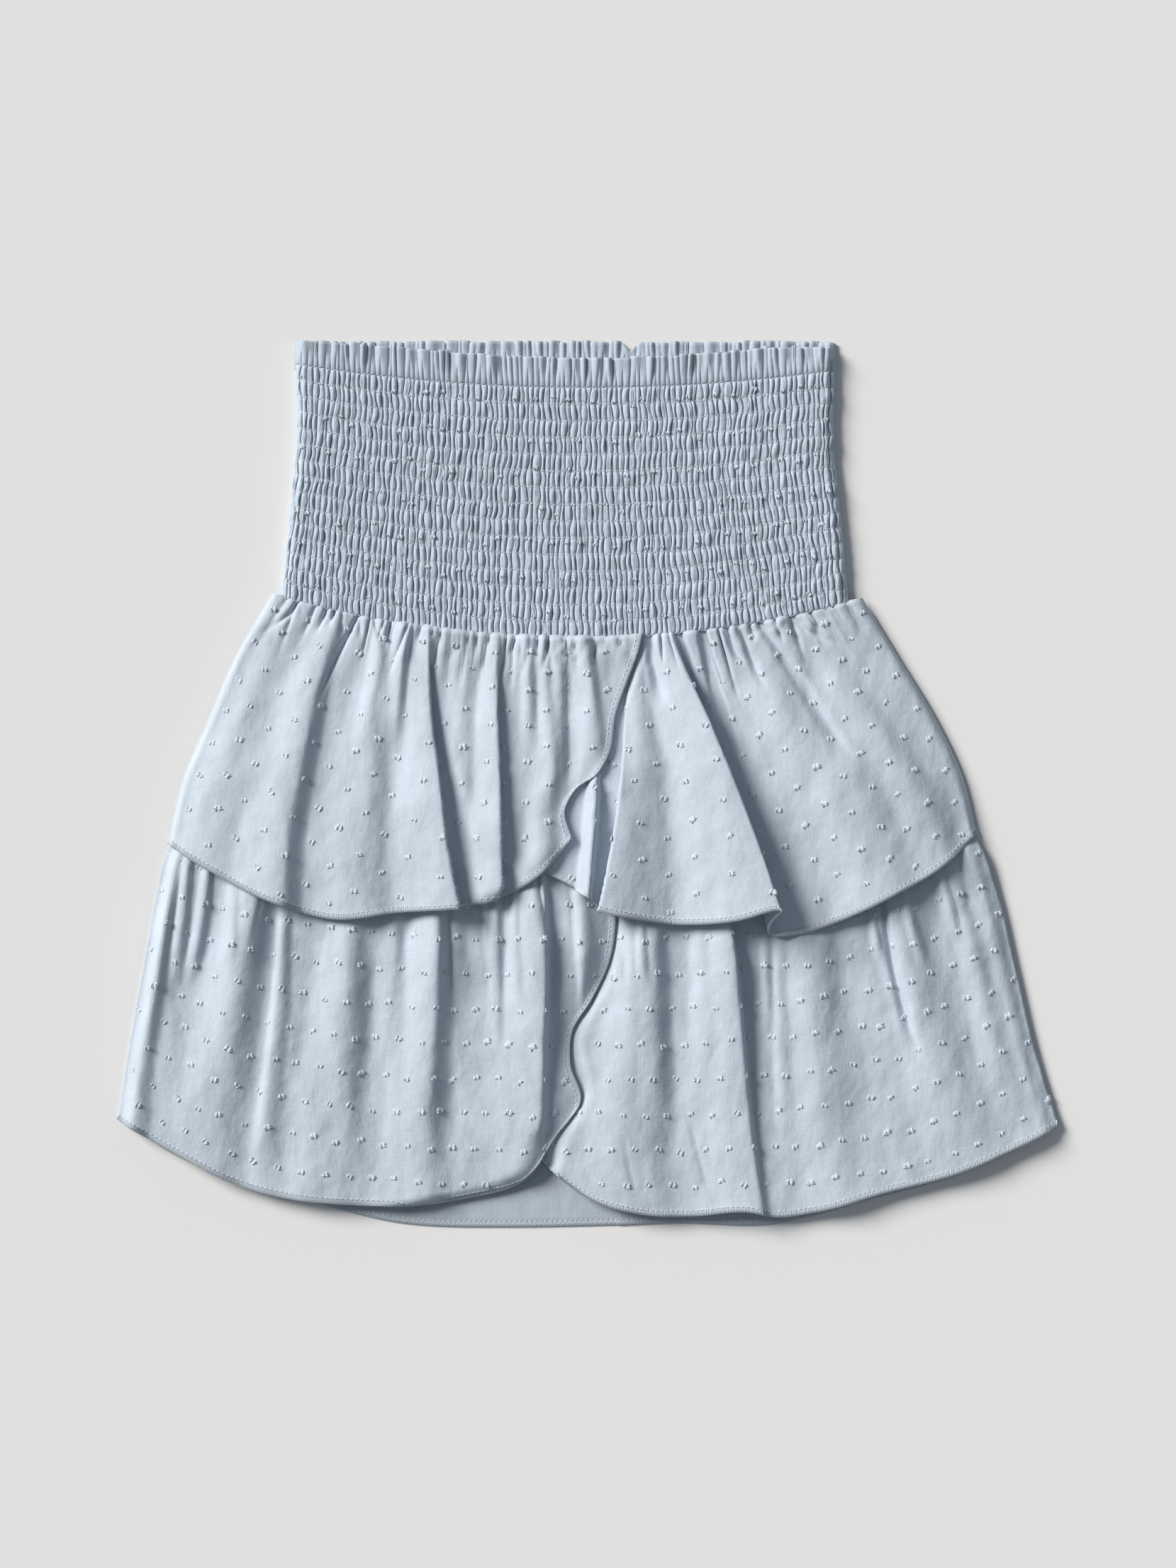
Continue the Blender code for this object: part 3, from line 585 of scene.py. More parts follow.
def upper_point(folds, creases, gaps, seed, across, down, clear, layer):
    """Underside of the upper tier: over the yoke and the lower tier, with its side edges turned down."""
    rise, lean = fold_field(folds, UPPER, across, down, *UPPER_FOLDING)
    distance = UPPER.side_distance(across, down)
    sides = ease(distance / UPPER_CALM)
    x, y = UPPER.place(across, down)
    gathers = gather_field(gaps, UPPER, across, down)
    small = gathers + crease_field(creases, x, y) + ripple(seed, across, down)
    base = 3 * LAYER + UPPER_SPRING * ease(down / 0.7) * ease(distance / 26.0) + layer
    height = base + (rise + small + puffed_seam(gathers, down)) * clear * sides
    height = soft_floor(height, base - 0.9 - ease((down - 0.25) / 0.3))
    height = LAYER + (height - LAYER) * ease(distance / LIP)
    scallop = 0.6 * (1 + gathers / 1.6) * (1 - ease(down / 0.05))
    return x + lean * clear * sides, y + scallop * sides, height


def lower_point(folds, creases, gaps, seed, across, down, clear, layer):
    """Underside of the lower tier: over the upper tier's back, then down to the lower back."""
    rise, lean = fold_field(folds, LOWER, across, down, *LOWER_FOLDING)
    calm = LOWER_CALM + LOWER_TOP_CALM * (1 - ease(down / 0.12))
    sides = ease(LOWER.side_distance(across, down) / calm)
    x, y = LOWER.place(across, down)
    small = gather_field(gaps, LOWER, across, down) * 0.6
    small = small + crease_field(creases, x, y) + ripple(seed, across, down)
    base = LAYER * drop_share(x, y) + LAYER + layer
    height = base + (rise + small + LOWER_SPRING) * clear * sides
    return x + lean * clear * sides, y, soft_floor(height, base - 0.3)


# Meshes

TUBE_SIDES = 3


def new_object(name, points, faces, material, uv=None):
    """Object from points in millimetres, with an optional cloth map in metres."""
    mesh = bpy.data.meshes.new(name)
    faces = faces.tolist() if hasattr(faces, "tolist") else faces
    mesh.from_pydata((np.asarray(points) * MM).tolist(), [], faces)
    mesh.shade_smooth()
    if uv is not None:
        layer = mesh.uv_layers.new(name="cloth")
        loops = np.empty(len(mesh.loops), np.int32)
        mesh.loops.foreach_get("vertex_index", loops)
        layer.data.foreach_set("uv", (np.asarray(uv) * MM)[loops].astype(np.float32).ravel())
    mesh.materials.append(material)
    made = bpy.data.objects.new(name, mesh)
    bpy.context.scene.collection.objects.link(made)
    return made


def grid_faces(rows, columns, start=0, flip=False):
    """Quads of a grid of points numbered row by row."""
    first = start + np.arange(rows - 1)[:, None] * columns + np.arange(columns - 1)[None, :]
    quads = np.stack([first, first + columns, first + columns + 1, first + 1], axis=-1).reshape(-1, 4)
    return quads[:, ::-1] if flip else quads


def grid_normals(grid):
    """Unit normals of a grid of points, towards +Z for rows that run down the cloth."""
    return unit(np.cross(np.gradient(grid, axis=0), np.gradient(grid, axis=1)))


def cloth_map(grid):
    """Distances along the cloth, measured down its rows and across them from its middle column."""
    across_steps = np.linalg.norm(np.diff(grid, axis=1), axis=2)
    down_steps = np.linalg.norm(np.diff(grid, axis=0), axis=2)
    across = np.pad(np.cumsum(across_steps, axis=1), ((0, 0), (1, 0)))
    across = across - across[:, [grid.shape[1] // 2]]
    down = np.pad(np.cumsum(down_steps, axis=0), ((1, 0), (0, 0)))
    return np.stack([across, -down], axis=-1).reshape(-1, 2)


def shell(name, grid, material, thickness=CLOTH):
    """Closed thin shell that grows upwards from a grid of points."""
    rows, columns = grid.shape[:2]
    count = rows * columns
    top = grid + grid_normals(grid) * thickness
    index = np.arange(count).reshape(rows, columns)
    rim = np.concatenate([index[0, :-1], index[:-1, -1], index[-1, :0:-1], index[:0:-1, 0]])
    following = np.roll(rim, -1)
    walls = np.stack([rim, rim + count, following + count, following], axis=-1)
    faces = np.concatenate([grid_faces(rows, columns, 0, True), grid_faces(rows, columns, count), walls])
    points = np.concatenate([grid.reshape(-1, 3), top.reshape(-1, 3)])
    return new_object(name, points, faces, material, np.concatenate([cloth_map(grid)] * 2))


def curl_edges(grid, side, clear, seed):
    """Free edges lift a little off what is under them, more in some places than others."""
    random = np.random.default_rng(seed)
    hem_run = np.linalg.norm(grid - grid[[-1]], axis=2)
    phase = np.linspace(0, 1, grid.shape[1])[None, :]
    wave = 0.6 + 0.4 * np.sin(2 * math.pi * (3.3 * phase + random.uniform(0, 1)))
    lift = HEM_CURL * wave * np.exp(-hem_run / HEM_CURL_REACH)
    if side == "left":
        wrap_run = np.linalg.norm(grid - grid[:, [-1]], axis=2)
        lift = lift + WRAP_CURL * np.exp(-wrap_run / WRAP_CURL_REACH)
    grid[:, :, 2] += lift * clear
    return grid


def tubes(paths, radii):
    """Tapered tubes along many paths of equal length: their points and faces."""
    count, length = paths.shape[:2]
    along = unit(np.gradient(paths, axis=1))
    first = unit(np.cross(along, np.array([0.31, 0.17, 0.93])))
    second = np.cross(along, first)
    turns = 2 * math.pi * np.arange(TUBE_SIDES) / TUBE_SIDES
    ring = first[:, :, None] * np.cos(turns)[:, None] + second[:, :, None] * np.sin(turns)[:, None]
    points = paths[:, :, None] + ring * np.asarray(radii)[None, :, None, None]
    index = np.arange(count * length * TUBE_SIDES).reshape(count, length, TUBE_SIDES)
    near, far = index[:, :-1], index[:, 1:]
    faces = np.stack([near, np.roll(near, -1, axis=2), np.roll(far, -1, axis=2), far], axis=-1)
    return points.reshape(-1, 3), faces.reshape(-1, 4)


def joined(parts):
    """Several sets of points and faces as one."""
    starts = np.cumsum([0] + [len(points) for points, faces in parts])
    faces = [faces + start for (points, faces), start in zip(parts, starts)]
    return np.concatenate([points for points, _ in parts]), np.concatenate(faces)


# Materials

def new_material(name, values):
    """Material whose main shader has the values: the material, its node tree and the shader's inputs."""
    material = bpy.data.materials.new(name)
    material.use_nodes = True
    sockets = material.node_tree.nodes["Principled BSDF"].inputs
    for socket, value in values.items():
        sockets[socket].default_value = value
    return material, material.node_tree, sockets


def add_node(tree, kind, inputs):
    """New node whose inputs take values or another node's output."""
    node = tree.nodes.new(kind)
    for socket, value in inputs.items():
        if isinstance(value, bpy.types.NodeSocket):
            tree.links.new(value, node.inputs[socket])
        else:
            node.inputs[socket].default_value = value
    return node


def math_node(tree, operation, first, second):
    node = add_node(tree, "ShaderNodeMath", {0: first, 1: second})
    node.operation = operation
    return node.outputs[0]


def stretched_noise(tree, vector, scale, detail):
    """Noise with its own scale along each direction of the cloth, in features per metre."""
    stretch = add_node(tree, "ShaderNodeMapping", {"Vector": vector, "Scale": scale})
    inputs = {"Vector": stretch.outputs[0], "Scale": 1.0, "Detail": detail}
    return add_node(tree, "ShaderNodeTexNoise", inputs).outputs["Fac"]


def bump_node(tree, height, distance, strength, under=None):
    inputs = {"Height": height, "Distance": distance, "Strength": strength}
    if under is not None:
        inputs["Normal"] = under
    return add_node(tree, "ShaderNodeBump", inputs).outputs["Normal"]


def shaded(tree, share, colour, positions, darkest):
    """The colour, darker where the share is low and a little lighter where it is high."""
    ramp = add_node(tree, "ShaderNodeValToRGB", {"Fac": share})
    for element, position, shade in zip(ramp.color_ramp.elements, positions, (darkest, 1.06)):
        element.position = position
        element.color = (*[min(1.0, value * shade) for value in colour], 1.0)
    return ramp.outputs["Color"]


def weave(name, colour, crumple=1.0, streaks=0.0):
    """Plain-woven cotton: crossing uneven threads along the cloth, soft crumples and streaks."""
    material, tree, sockets = new_material(name, {
        "Roughness": 0.88,
        "Sheen Weight": 0.10,
        "Sheen Roughness": 0.5,
        "Specular IOR Level": 0.2,
    })
    coordinates = tree.nodes.new("ShaderNodeTexCoord").outputs
    place = coordinates["Object"]
    cloth = place if streaks else coordinates["UV"]
    warp = stretched_noise(tree, cloth, (1900.0, 110.0, 1.0), 2.0)
    weft = stretched_noise(tree, cloth, (110.0, 1900.0, 1.0), 2.0)
    clouds = stretched_noise(tree, place, (34.0, 34.0, 34.0), 3.0)
    creases = stretched_noise(tree, place, (95.0, 62.0, 80.0), 3.0)
    crumples = stretched_noise(tree, place, (38.0, 26.0, 38.0), 2.0)
    threads = math_node(tree, "ADD", warp, weft)
    mean = math_node(tree, "MULTIPLY", math_node(tree, "ADD", threads, clouds), 0.3333)
    tree.links.new(shaded(tree, mean, colour, (0.36, 0.64), 0.92), sockets["Base Color"])
    soft = bump_node(tree, crumples, 0.0036 * crumple, 0.9)
    fine = bump_node(tree, creases, 0.0012 * crumple, 0.9, soft)
    if streaks:
        crushed = stretched_noise(tree, place, (900.0, 210.0, 500.0), 2.0)
        fine = bump_node(tree, crushed, 0.0009 * streaks, 0.55, fine)
    tree.links.new(bump_node(tree, threads, 0.00012, 0.5, fine), sockets["Normal"])
    return material


def thread(name, colour):
    """Soft spun thread."""
    material, tree, sockets = new_material(name, {
        "Roughness": 0.95,
        "Sheen Weight": 0.3,
        "Specular IOR Level": 0.05,
    })
    place = tree.nodes.new("ShaderNodeTexCoord").outputs["Object"]
    fibres = add_node(tree, "ShaderNodeTexNoise", {"Vector": place, "Scale": 2200.0}).outputs["Fac"]
    tree.links.new(shaded(tree, fibres, colour, (0.3, 0.7), 0.86), sockets["Base Color"])
    tree.links.new(bump_node(tree, fibres, 0.0001, 0.4), sockets["Normal"])
    return material


DOTTED = weave("dotted_cotton", COTTON)
# Painted shade: the plain wrong side is darkened for the front hem's shadow on it
INSIDE_PAINTED_SHADE = weave("plain_cotton", COTTON_INSIDE_PAINTED_SHADE, crumple=0.5)
# Painted shade: the shirred band's cotton is darkened for the shade between its ribs
SMOCKED_PAINTED_SHADE = weave("smocked_cotton", COTTON_SMOCKED_PAINTED_SHADE, crumple=0.12, streaks=1.0)
# Painted shade: the frill's cotton is darkened for the shade among its pleats
FRILLED_PAINTED_SHADE = weave("frill_cotton_painted_shade", COTTON_FRILLED_PAINTED_SHADE, crumple=0.35)
DOTS = thread("dot_thread", DOT_THREAD)
EDGING = thread("edge_thread", EDGE_THREAD)


# Waistband

BAND_SHARES = np.array([0.0, 0.35, 0.6, 1.0])


def band_ends(down):
    flares = np.array([0.0, 0.0, BAND_FLARE])
    lefts = np.append(BAND_LEFT - flares, SEAM_LEFT) + CLOTH
    rights = np.append(BAND_RIGHT + flares, SEAM_RIGHT) - CLOTH
    return through(BAND_SHARES, lefts, down), through(BAND_SHARES, rights, down)


def band_place(across, down):
    left, right = band_ends(down)
    x = left + (right - left) * across
    first = arch(across, FIRST_ROW_Y_LEFT, FIRST_ROW_Y_RIGHT, FIRST_ROW_SAG, 2)
    return x, first + (seam_y(x) - first) * down


def band_underside(across, down):
    left, right = band_ends(down)
    distance = np.minimum(across, 1 - across) * (right - left)
    lift = BAND_LIFT - BAND_SINK * ease(down)
    return LAYER + lift * ease(distance / (2 * LIP))


RIB_SAMPLES = np.array([0.0, 0.09, 0.20, 0.40, 0.60, 0.80, 0.91])
SAMPLES = len(RIB_SAMPLES)
ROW_STEPS = 7
RIB_HEIGHT = 3.0
PINCH = 0.68
ROW_CLOSED = 0.72
RIB_ROUNDNESS = 0.30
RIB_FLOOR = 0.4
STITCH_RISE = 0.22             # crest of a stitch over the pinched ribs
STITCH = ((-0.46, 0.16), (-0.24, 0.02), (0.0, 0.45), (0.24, 0.02), (0.46, 0.16))    # ribs across, drop
STITCH_RADII = [0.12, 0.20, 0.20, 0.20, 0.12]
FACE_DROP = 0.35               # inner face of the band under the floor of its ribs
FRONT_FRILL_RISE = 3.2
FRONT_FRILL_ROWS = 13
BACK_FRILL_RISE = 2.6
BACK_FRILL_ROWS = 9
BACK_FRILL_LIFT = 0.6
BACK_FRILL_DEPTH = 13.0


def rib_borders(random, ribs, levels, swing):
    """Wandering borders between the ribs: one value for each level and border, in ribs."""
    borders = np.arange(ribs + 1)[None, :] + random.uniform(-swing, swing, (levels, ribs + 1))
    level = np.arange(levels)[:, None]
    place = np.arange(ribs + 1)[None, :]
    for wide in (0.11, 0.23, 0.41):
        turn = wide * place + 0.35 * level * random.uniform(-1, 1) + random.uniform(0, 6.3)
        borders = borders + 0.32 * np.sin(turn) / (1 + 3 * wide)
    borders = borders - borders[:, :1] * (1 - place / ribs) - (borders[:, -1:] - ribs) * place / ribs
    return borders


def rib_columns(borders):
    """Points across every rib between its borders, in ribs, and their shares of the rib."""
    start = borders[:, :-1, None]
    span = np.diff(borders, axis=1)[:, :, None]
    places = (start + span * RIB_SAMPLES[None, None, :]).reshape(len(borders), -1)
    shares = np.tile(RIB_SAMPLES, borders.shape[1] - 1)
    return np.concatenate([places, borders[:, -1:]], axis=1), np.append(shares, 0.0)


def at_samples(values, last):
    """One value a rib, repeated at its samples, and a last one for the end of the row."""
    return np.concatenate([np.repeat(values, SAMPLES, axis=1), last], axis=1)


def smocked_front(seed):
    """Front of the band: ribs pinched by every row of shirring, their floor, and the rows' borders."""
    random = np.random.default_rng(seed)
    intervals = STITCH_ROWS - 1
    at_rows = rib_borders(random, RIBS, STITCH_ROWS, 0.24)
    at_middles = (at_rows[:-1] + at_rows[1:]) / 2 + random.uniform(-0.28, 0.28, (intervals, RIBS + 1))
    at_middles[:, 0] = 0.0
    at_middles[:, -1] = RIBS
    fullness = random.uniform(0.72, 1.12, (intervals, RIBS))
    slots = np.where(random.uniform(0, 1, (intervals, RIBS + 1)) < 0.12, 0.6, 0.0)
    slots = slots + random.uniform(0.0, 0.2, (intervals, RIBS + 1))
    dents = np.zeros((intervals, RIBS, SAMPLES))
    dented = np.where(random.uniform(0, 1, (intervals, RIBS, 1)) < 0.45, 1.0, 0.0)
    dented = dented * random.uniform(0.15, 0.45, (intervals, RIBS, 1))
    np.put_along_axis(dents, random.integers(2, 5, (intervals, RIBS, 1)), dented, axis=2)
    dents = dents.reshape(intervals, -1)
    levels, heights, lows, downs = [], [], [], []
    for row in range(intervals):
        for step in range(ROW_STEPS):
            part = step / ROW_STEPS
            blend = math.sin(math.pi * part)
            straight = at_rows[row] * (1 - part) + at_rows[row + 1] * part
            middle = (at_rows[row] + at_rows[row + 1]) / 2
            levels.append(straight + (at_middles[row] - middle) * blend)
            puffed = PINCH + (1 - PINCH) * blend ** 0.4
            full = np.repeat(puffed * (1 + (fullness[row] - 1) * blend), SAMPLES)
            heights.append(full * (1 - dents[row] * blend))
            lows.append(slots[row] * blend + ROW_CLOSED * (1 - blend) ** 2)
            downs.append((row + part) / intervals)
    levels.append(at_rows[-1])
    heights.append(np.full(RIBS * SAMPLES, PINCH))
    lows.append(np.full(RIBS + 1, ROW_CLOSED))
    downs.append(1.0)
    places, shares = rib_columns(np.array(levels))
    lows = np.array(lows)
    height = np.concatenate([np.array(heights), np.full((len(downs), 1), PINCH)], axis=1)
    first_low = at_samples(lows[:, :-1], lows[:, -1:])
    next_low = at_samples(lows[:, 1:], lows[:, -1:])
    low = first_low * (1 - shares) + next_low * shares
    arc = (4 * shares * (1 - shares))[None, :] ** RIB_ROUNDNESS
    across = places / RIBS
    down = np.array(downs)[:, None] + 0.0 * across
    x, y = band_place(across, down)
    y = y + 0.25 * np.sin(0.21 * x + 3 * down) * np.sin(math.pi * down)
    floor = band_underside(across, down) + RIB_FLOOR
    z = floor + RIB_HEIGHT * height * (low + (1 - low) * arc)
    return np.stack([x, y, z], axis=-1), floor, at_rows


def row_stitches(at_rows, seed):
    """Elastic thread of the shirring: a short slanting stitch over every groove of every row."""
    random = np.random.default_rng(seed)
    crest = RIB_FLOOR + RIB_HEIGHT * PINCH + STITCH_RISE
    paths = []
    for row, borders in enumerate(at_rows):
        down = row / (STITCH_ROWS - 1)
        inner = borders[1:-1]
        rising = random.choice([-1, 1], len(inner))
        steps = []
        for offset, drop in STITCH:
            across = (inner + offset) / RIBS
            x, y = band_place(across, down + 0.0 * across)
            y = y + 0.10 * random.uniform(-1, 1, len(inner)) + rising * offset * 0.9
            z = band_underside(across, down) + crest - drop
            steps.append(np.stack([x, y, z], axis=-1))
        paths.append(np.stack(steps, axis=1))
    return tubes(np.concatenate(paths), STITCH_RADII)


def share_between(borders, places):
    """How far each place lies between its two borders, and the number of the border on its left."""
    number = np.interp(places, borders, np.arange(len(borders)))
    return number - np.floor(number), np.clip(number.astype(int), 0, len(borders) - 2)


def pleat_borders(random):
    """Numbers of the rib borders that stay open as gaps between the frill's pleats."""
    kept = np.concatenate([[0], np.cumsum(random.choice([1, 1, 2, 2, 3], RIBS))])
    return np.append(kept[kept < RIBS - 1], RIBS)


def frill(seed, first_row, closed, rise, rows, foot_y, edge_y, base):
    """Gathered frill: the ribs of the first row open into uneven flat pleats with narrow gaps."""
    random = np.random.default_rng(seed)
    places, rib_shares = rib_columns(first_row[None, :])
    across = places[0] / RIBS
    rib_arc = (4 * rib_shares * (1 - rib_shares)) ** RIB_ROUNDNESS
    at_foot = first_row[pleat_borders(random)] / RIBS
    swing = random.uniform(-0.42, 0.42, len(at_foot)) / RIBS
    swing[[0, -1]] = 0.0
    share, index = share_between(at_foot, across)
    pleats = len(at_foot) - 1
    arc = (4 * share * (1 - share)) ** 0.36
    fullness = random.uniform(0.45, 1.1, pleats)[index]
    tall = random.uniform(-0.6, 0.5, pleats)[index]
    skew = 1 + random.uniform(-1.1, 1.1, pleats)[index] * (share - 0.5)
    crimp = 0.12 * np.sin(2 * math.pi * share * random.integers(1, 3, pleats)[index])
    levels = []
    for part in np.linspace(0, 1, rows):
        moved = np.interp(across, at_foot, at_foot + swing * part)
        low = foot_y(moved)
        opening = ease(part / 0.7)
        top = edge_y(moved) + tall * opening - 0.4 * (1 - arc)
        low_gap = 0.45 * ease(part / 0.2) * (1 - ease((part - 0.2) / 0.6))
        pleat = rise * (fullness * skew * (low_gap + (1 - low_gap) * arc) + crimp * arc)
        puff = ease(part / 0.16)
        shut = closed * (1 - puff)
        ribs = (RIB_HEIGHT * (PINCH + 0.25 * puff) - 0.1) * (shut + (1 - shut) * rib_arc)
        z = base(moved) + pleat * opening + ribs * (1 - opening) - 0.5 * part
        levels.append(np.stack([band_place(moved, 0.0)[0], low + (top - low) * part, z], axis=-1))
    return np.array(levels)[::-1]


def back_frill_edge(across):
    """Top of the back frill, with the notch of the centre back seam."""
    notch = NOTCH_DEPTH * np.clip(1 - np.abs(across - NOTCH_ACROSS) / NOTCH_HALF_WIDTH, 0, 1)
    return BACK_TOP_Y - 0.4 - notch


def band_frills(first_row):
    front = frill(
        SEED + 30, first_row, ROW_CLOSED, FRONT_FRILL_RISE, FRONT_FRILL_ROWS,
        lambda across: band_place(across, 0.0)[1],
        lambda across: follow(FRILL_TOP, across),
        lambda across: band_underside(across, 0.0) + RIB_FLOOR - CLOTH,
    )
    back = frill(
        SEED + 31, np.arange(RIBS + 1.0), 0.0, BACK_FRILL_RISE, BACK_FRILL_ROWS,
        lambda across: BACK_TOP_Y - BACK_FRILL_DEPTH + 0.0 * across,
        back_frill_edge,
        lambda across: BACK_FRILL_LIFT + 0.0 * across,
    )
    return front, back


def smocked_back():
    """Hidden back of the band, flat on the surface."""
    across, down = share_grid(60, 30)
    x, y = band_place(across, down)
    y = np.where(down == 0, BACK_TOP_Y - BACK_FRILL_DEPTH, y)
    return np.stack([x, y, LAID + 0.0 * x], axis=-1)


def border_fans(top, low):
    """Faces between the fine border of one grid and the coarse border of the grid under it."""
    faces = []
    borders = (
        (top[0, ::-1], low[0, ::-1]),
        (top[-1, :], low[-1, :]),
        (top[:, 0], low[:, 0]),
        (top[::-1, -1], low[::-1, -1]),
    )
    for fine, coarse in borders:
        step = (len(fine) - 1) // (len(coarse) - 1)
        for index in range(len(coarse) - 1):
            near = fine[index * step:(index + 1) * step + 1]
            faces.append([*near[::-1].tolist(), int(coarse[index]), int(coarse[index + 1])])
    return faces


def lined_band(grid, floor):
    """Ribs over a plain inner face, closed along the border."""
    under = grid[::ROW_STEPS, ::SAMPLES].copy()
    under[:, :, 2] = floor[::ROW_STEPS, ::SAMPLES] - FACE_DROP
    count = grid.shape[0] * grid.shape[1]
    top = np.arange(count).reshape(grid.shape[:2])
    low = count + np.arange(under.shape[0] * under.shape[1]).reshape(under.shape[:2])
    points = np.concatenate([grid.reshape(-1, 3), under.reshape(-1, 3)])
    faces = grid_faces(*grid.shape[:2]).tolist() + grid_faces(*under.shape[:2], count, True).tolist()
    faces += border_fans(top, low)
    uv = np.concatenate([cloth_map(grid), cloth_map(under)])
    return new_object("smocked_front", points, faces, SMOCKED_PAINTED_SHADE, uv)


# Tiers

# Outline, reach of the left panel, function that lays it, step onto the right panel, folds left at the wrap
TIERS = {
    "upper": (UPPER, UPPER_COVER, upper_point, LAYER + 0.4, 0.30),
    "lower": (LOWER, LOWER_COVER, lower_point, 1.0, 0.12),
}

# Folds, creases, gathers, hem, wrapped edge, seed of the ripples
PANELS = {
    "upper_right": (
        UPPER_RIGHT_FOLDS, UPPER_RIGHT_CREASES + seam_wrinkles(SEED + 12, 30, 118, 18),
        gather_gaps(SEED + 2, 0.64, 0.99, 14, 0.34), UPPER_RIGHT_HEM, UPPER_RIGHT_WRAP, SEED + 5),
    "upper_left": (
        UPPER_LEFT_FOLDS, UPPER_LEFT_CREASES + seam_wrinkles(SEED + 11, -138, 26, 34),
        gather_gaps(SEED + 1, 0.01, 0.62, 26, 0.42), UPPER_LEFT_HEM, UPPER_LEFT_WRAP, SEED + 6),
    "lower_right": (
        LOWER_RIGHT_FOLDS, LOWER_RIGHT_CREASES,
        gather_gaps(SEED + 4, 0.56, 0.98, 17, 0.50), LOWER_RIGHT_HEM, LOWER_RIGHT_WRAP, SEED + 7),
    "lower_left": (
        LOWER_LEFT_FOLDS, LOWER_LEFT_CREASES,
        gather_gaps(SEED + 3, 0.02, 0.54, 20, 0.50), LOWER_LEFT_HEM, LOWER_LEFT_WRAP, SEED + 8),
}
PANEL_COLUMNS = 220
PANEL_ROWS = 104
ROW_CROWDING = 1.25            # rows lie closer together at the top


def panel_grid(name, seed):
    """Fine grid of one front panel, its shares across and down, and how far each point is uncovered."""
    folds, creases, gaps, hem, wrap, ripple_seed = PANELS[name]
    tier, side = name.split("_")
    fan, cover, underside, step, lowest = TIERS[tier]
    u, v = share_grid(PANEL_COLUMNS, PANEL_ROWS)
    across, down = panel_shares(folds, hem, wrap, side, u, v ** ROW_CROWDING)
    if side == "right":
        clear = clear_of_cover(cover, fan, across, down)
        strength, layer = clear, 0.0
    else:
        clear = np.ones_like(across)
        strength = settled(cover, fan, across, down, lowest)
        layer = over_panel(PANELS[tier + "_right"][4], fan, across, down, step)
    x, y, z = underside(folds, creases, gaps, ripple_seed, across, down, strength, layer)
    grid = curl_edges(np.stack([x, y, z + IN_WALL], axis=-1), side, clear, seed)
    return grid, across, down, clear


def flat_rows(fan, hem, height, columns, rows):
    """Lying back of a tier down to its hem table, or to its outline where it has none."""
    across, share = share_grid(columns, rows)
    x, y = fan.place(across, share * (follow(hem, across) if hem else 1.0))
    return np.stack([x, y, height(x, y) + LAID], axis=-1)


def yoke_grid(level):
    """Hidden yoke between the waist seam and the lower tier's top."""
    across, down = share_grid(30, 12)
    low_x, low_y = LOWER.place(across, 0.0 * across)
    high_x = SEAM_LEFT + YOKE_INSET + (SEAM_RIGHT - SEAM_LEFT - 2 * YOKE_INSET) * across
    high_y = seam_y(high_x) - GAP
    x = high_x + (low_x - high_x) * down
    y = high_y + (low_y + GAP - high_y) * down
    return np.stack([x, y, level + LAID + 0.0 * x], axis=-1)


# Clipped dots

DOT_ANGLES = np.radians([120, 180, 240, 60, 0, -60])
DOT_ROOTS = np.array([-0.7, -0.7, -0.7, 0.7, 0.7, 0.7])
PAD_SIDES = 8
PAD_TURNS = 2 * math.pi * np.arange(PAD_SIDES) / PAD_SIDES
PAD_RINGS = ((1.0, -0.2), (0.80, 0.55), (0.44, 0.95))    # shares of a heap's reach and of its height
PAD_HEIGHT = 0.36
PAD_APART = 0.66


def dot_pads(centres, axes, size, random):
    """Lumpy little heaps of cut thread, longer down the cloth than they are wide."""
    first, second, up = axes
    count = len(centres)
    rings = []
    for reach, rise in PAD_RINGS:
        wide = size * 0.85 * reach * random.uniform(0.7, 1.3, (count, PAD_SIDES)) * np.cos(PAD_TURNS)
        long = size * 1.45 * reach * random.uniform(0.7, 1.3, (count, PAD_SIDES)) * np.sin(PAD_TURNS)
        high = size * PAD_HEIGHT * rise * random.uniform(0.75, 1.25, (count, PAD_SIDES))
        rings.append(centres[:, None] + first[:, None] * wide[..., None] + second[:, None] * long[..., None]
                     + up[:, None] * high[..., None])
    points = np.concatenate([*rings, (centres + up * size * PAD_HEIGHT)[:, None]], axis=1)
    around = np.arange(PAD_SIDES)
    after = (around + 1) % PAD_SIDES
    walls = np.stack([around, after, after + PAD_SIDES, around + PAD_SIDES], axis=1)
    inner = 2 * PAD_SIDES + np.arange(0, PAD_SIDES, 2)
    following = 2 * PAD_SIDES + (np.arange(0, PAD_SIDES, 2) + 2) % PAD_SIDES
    summit = len(PAD_RINGS) * PAD_SIDES
    cap = np.stack([inner, inner + 1, following, np.full(len(inner), summit)], axis=1)
    faces = np.concatenate([walls, walls + PAD_SIDES, cap])[None]
    faces = faces + (summit + 1) * np.arange(count)[:, None, None]
    return points.reshape(-1, 3), faces.reshape(-1, 4)


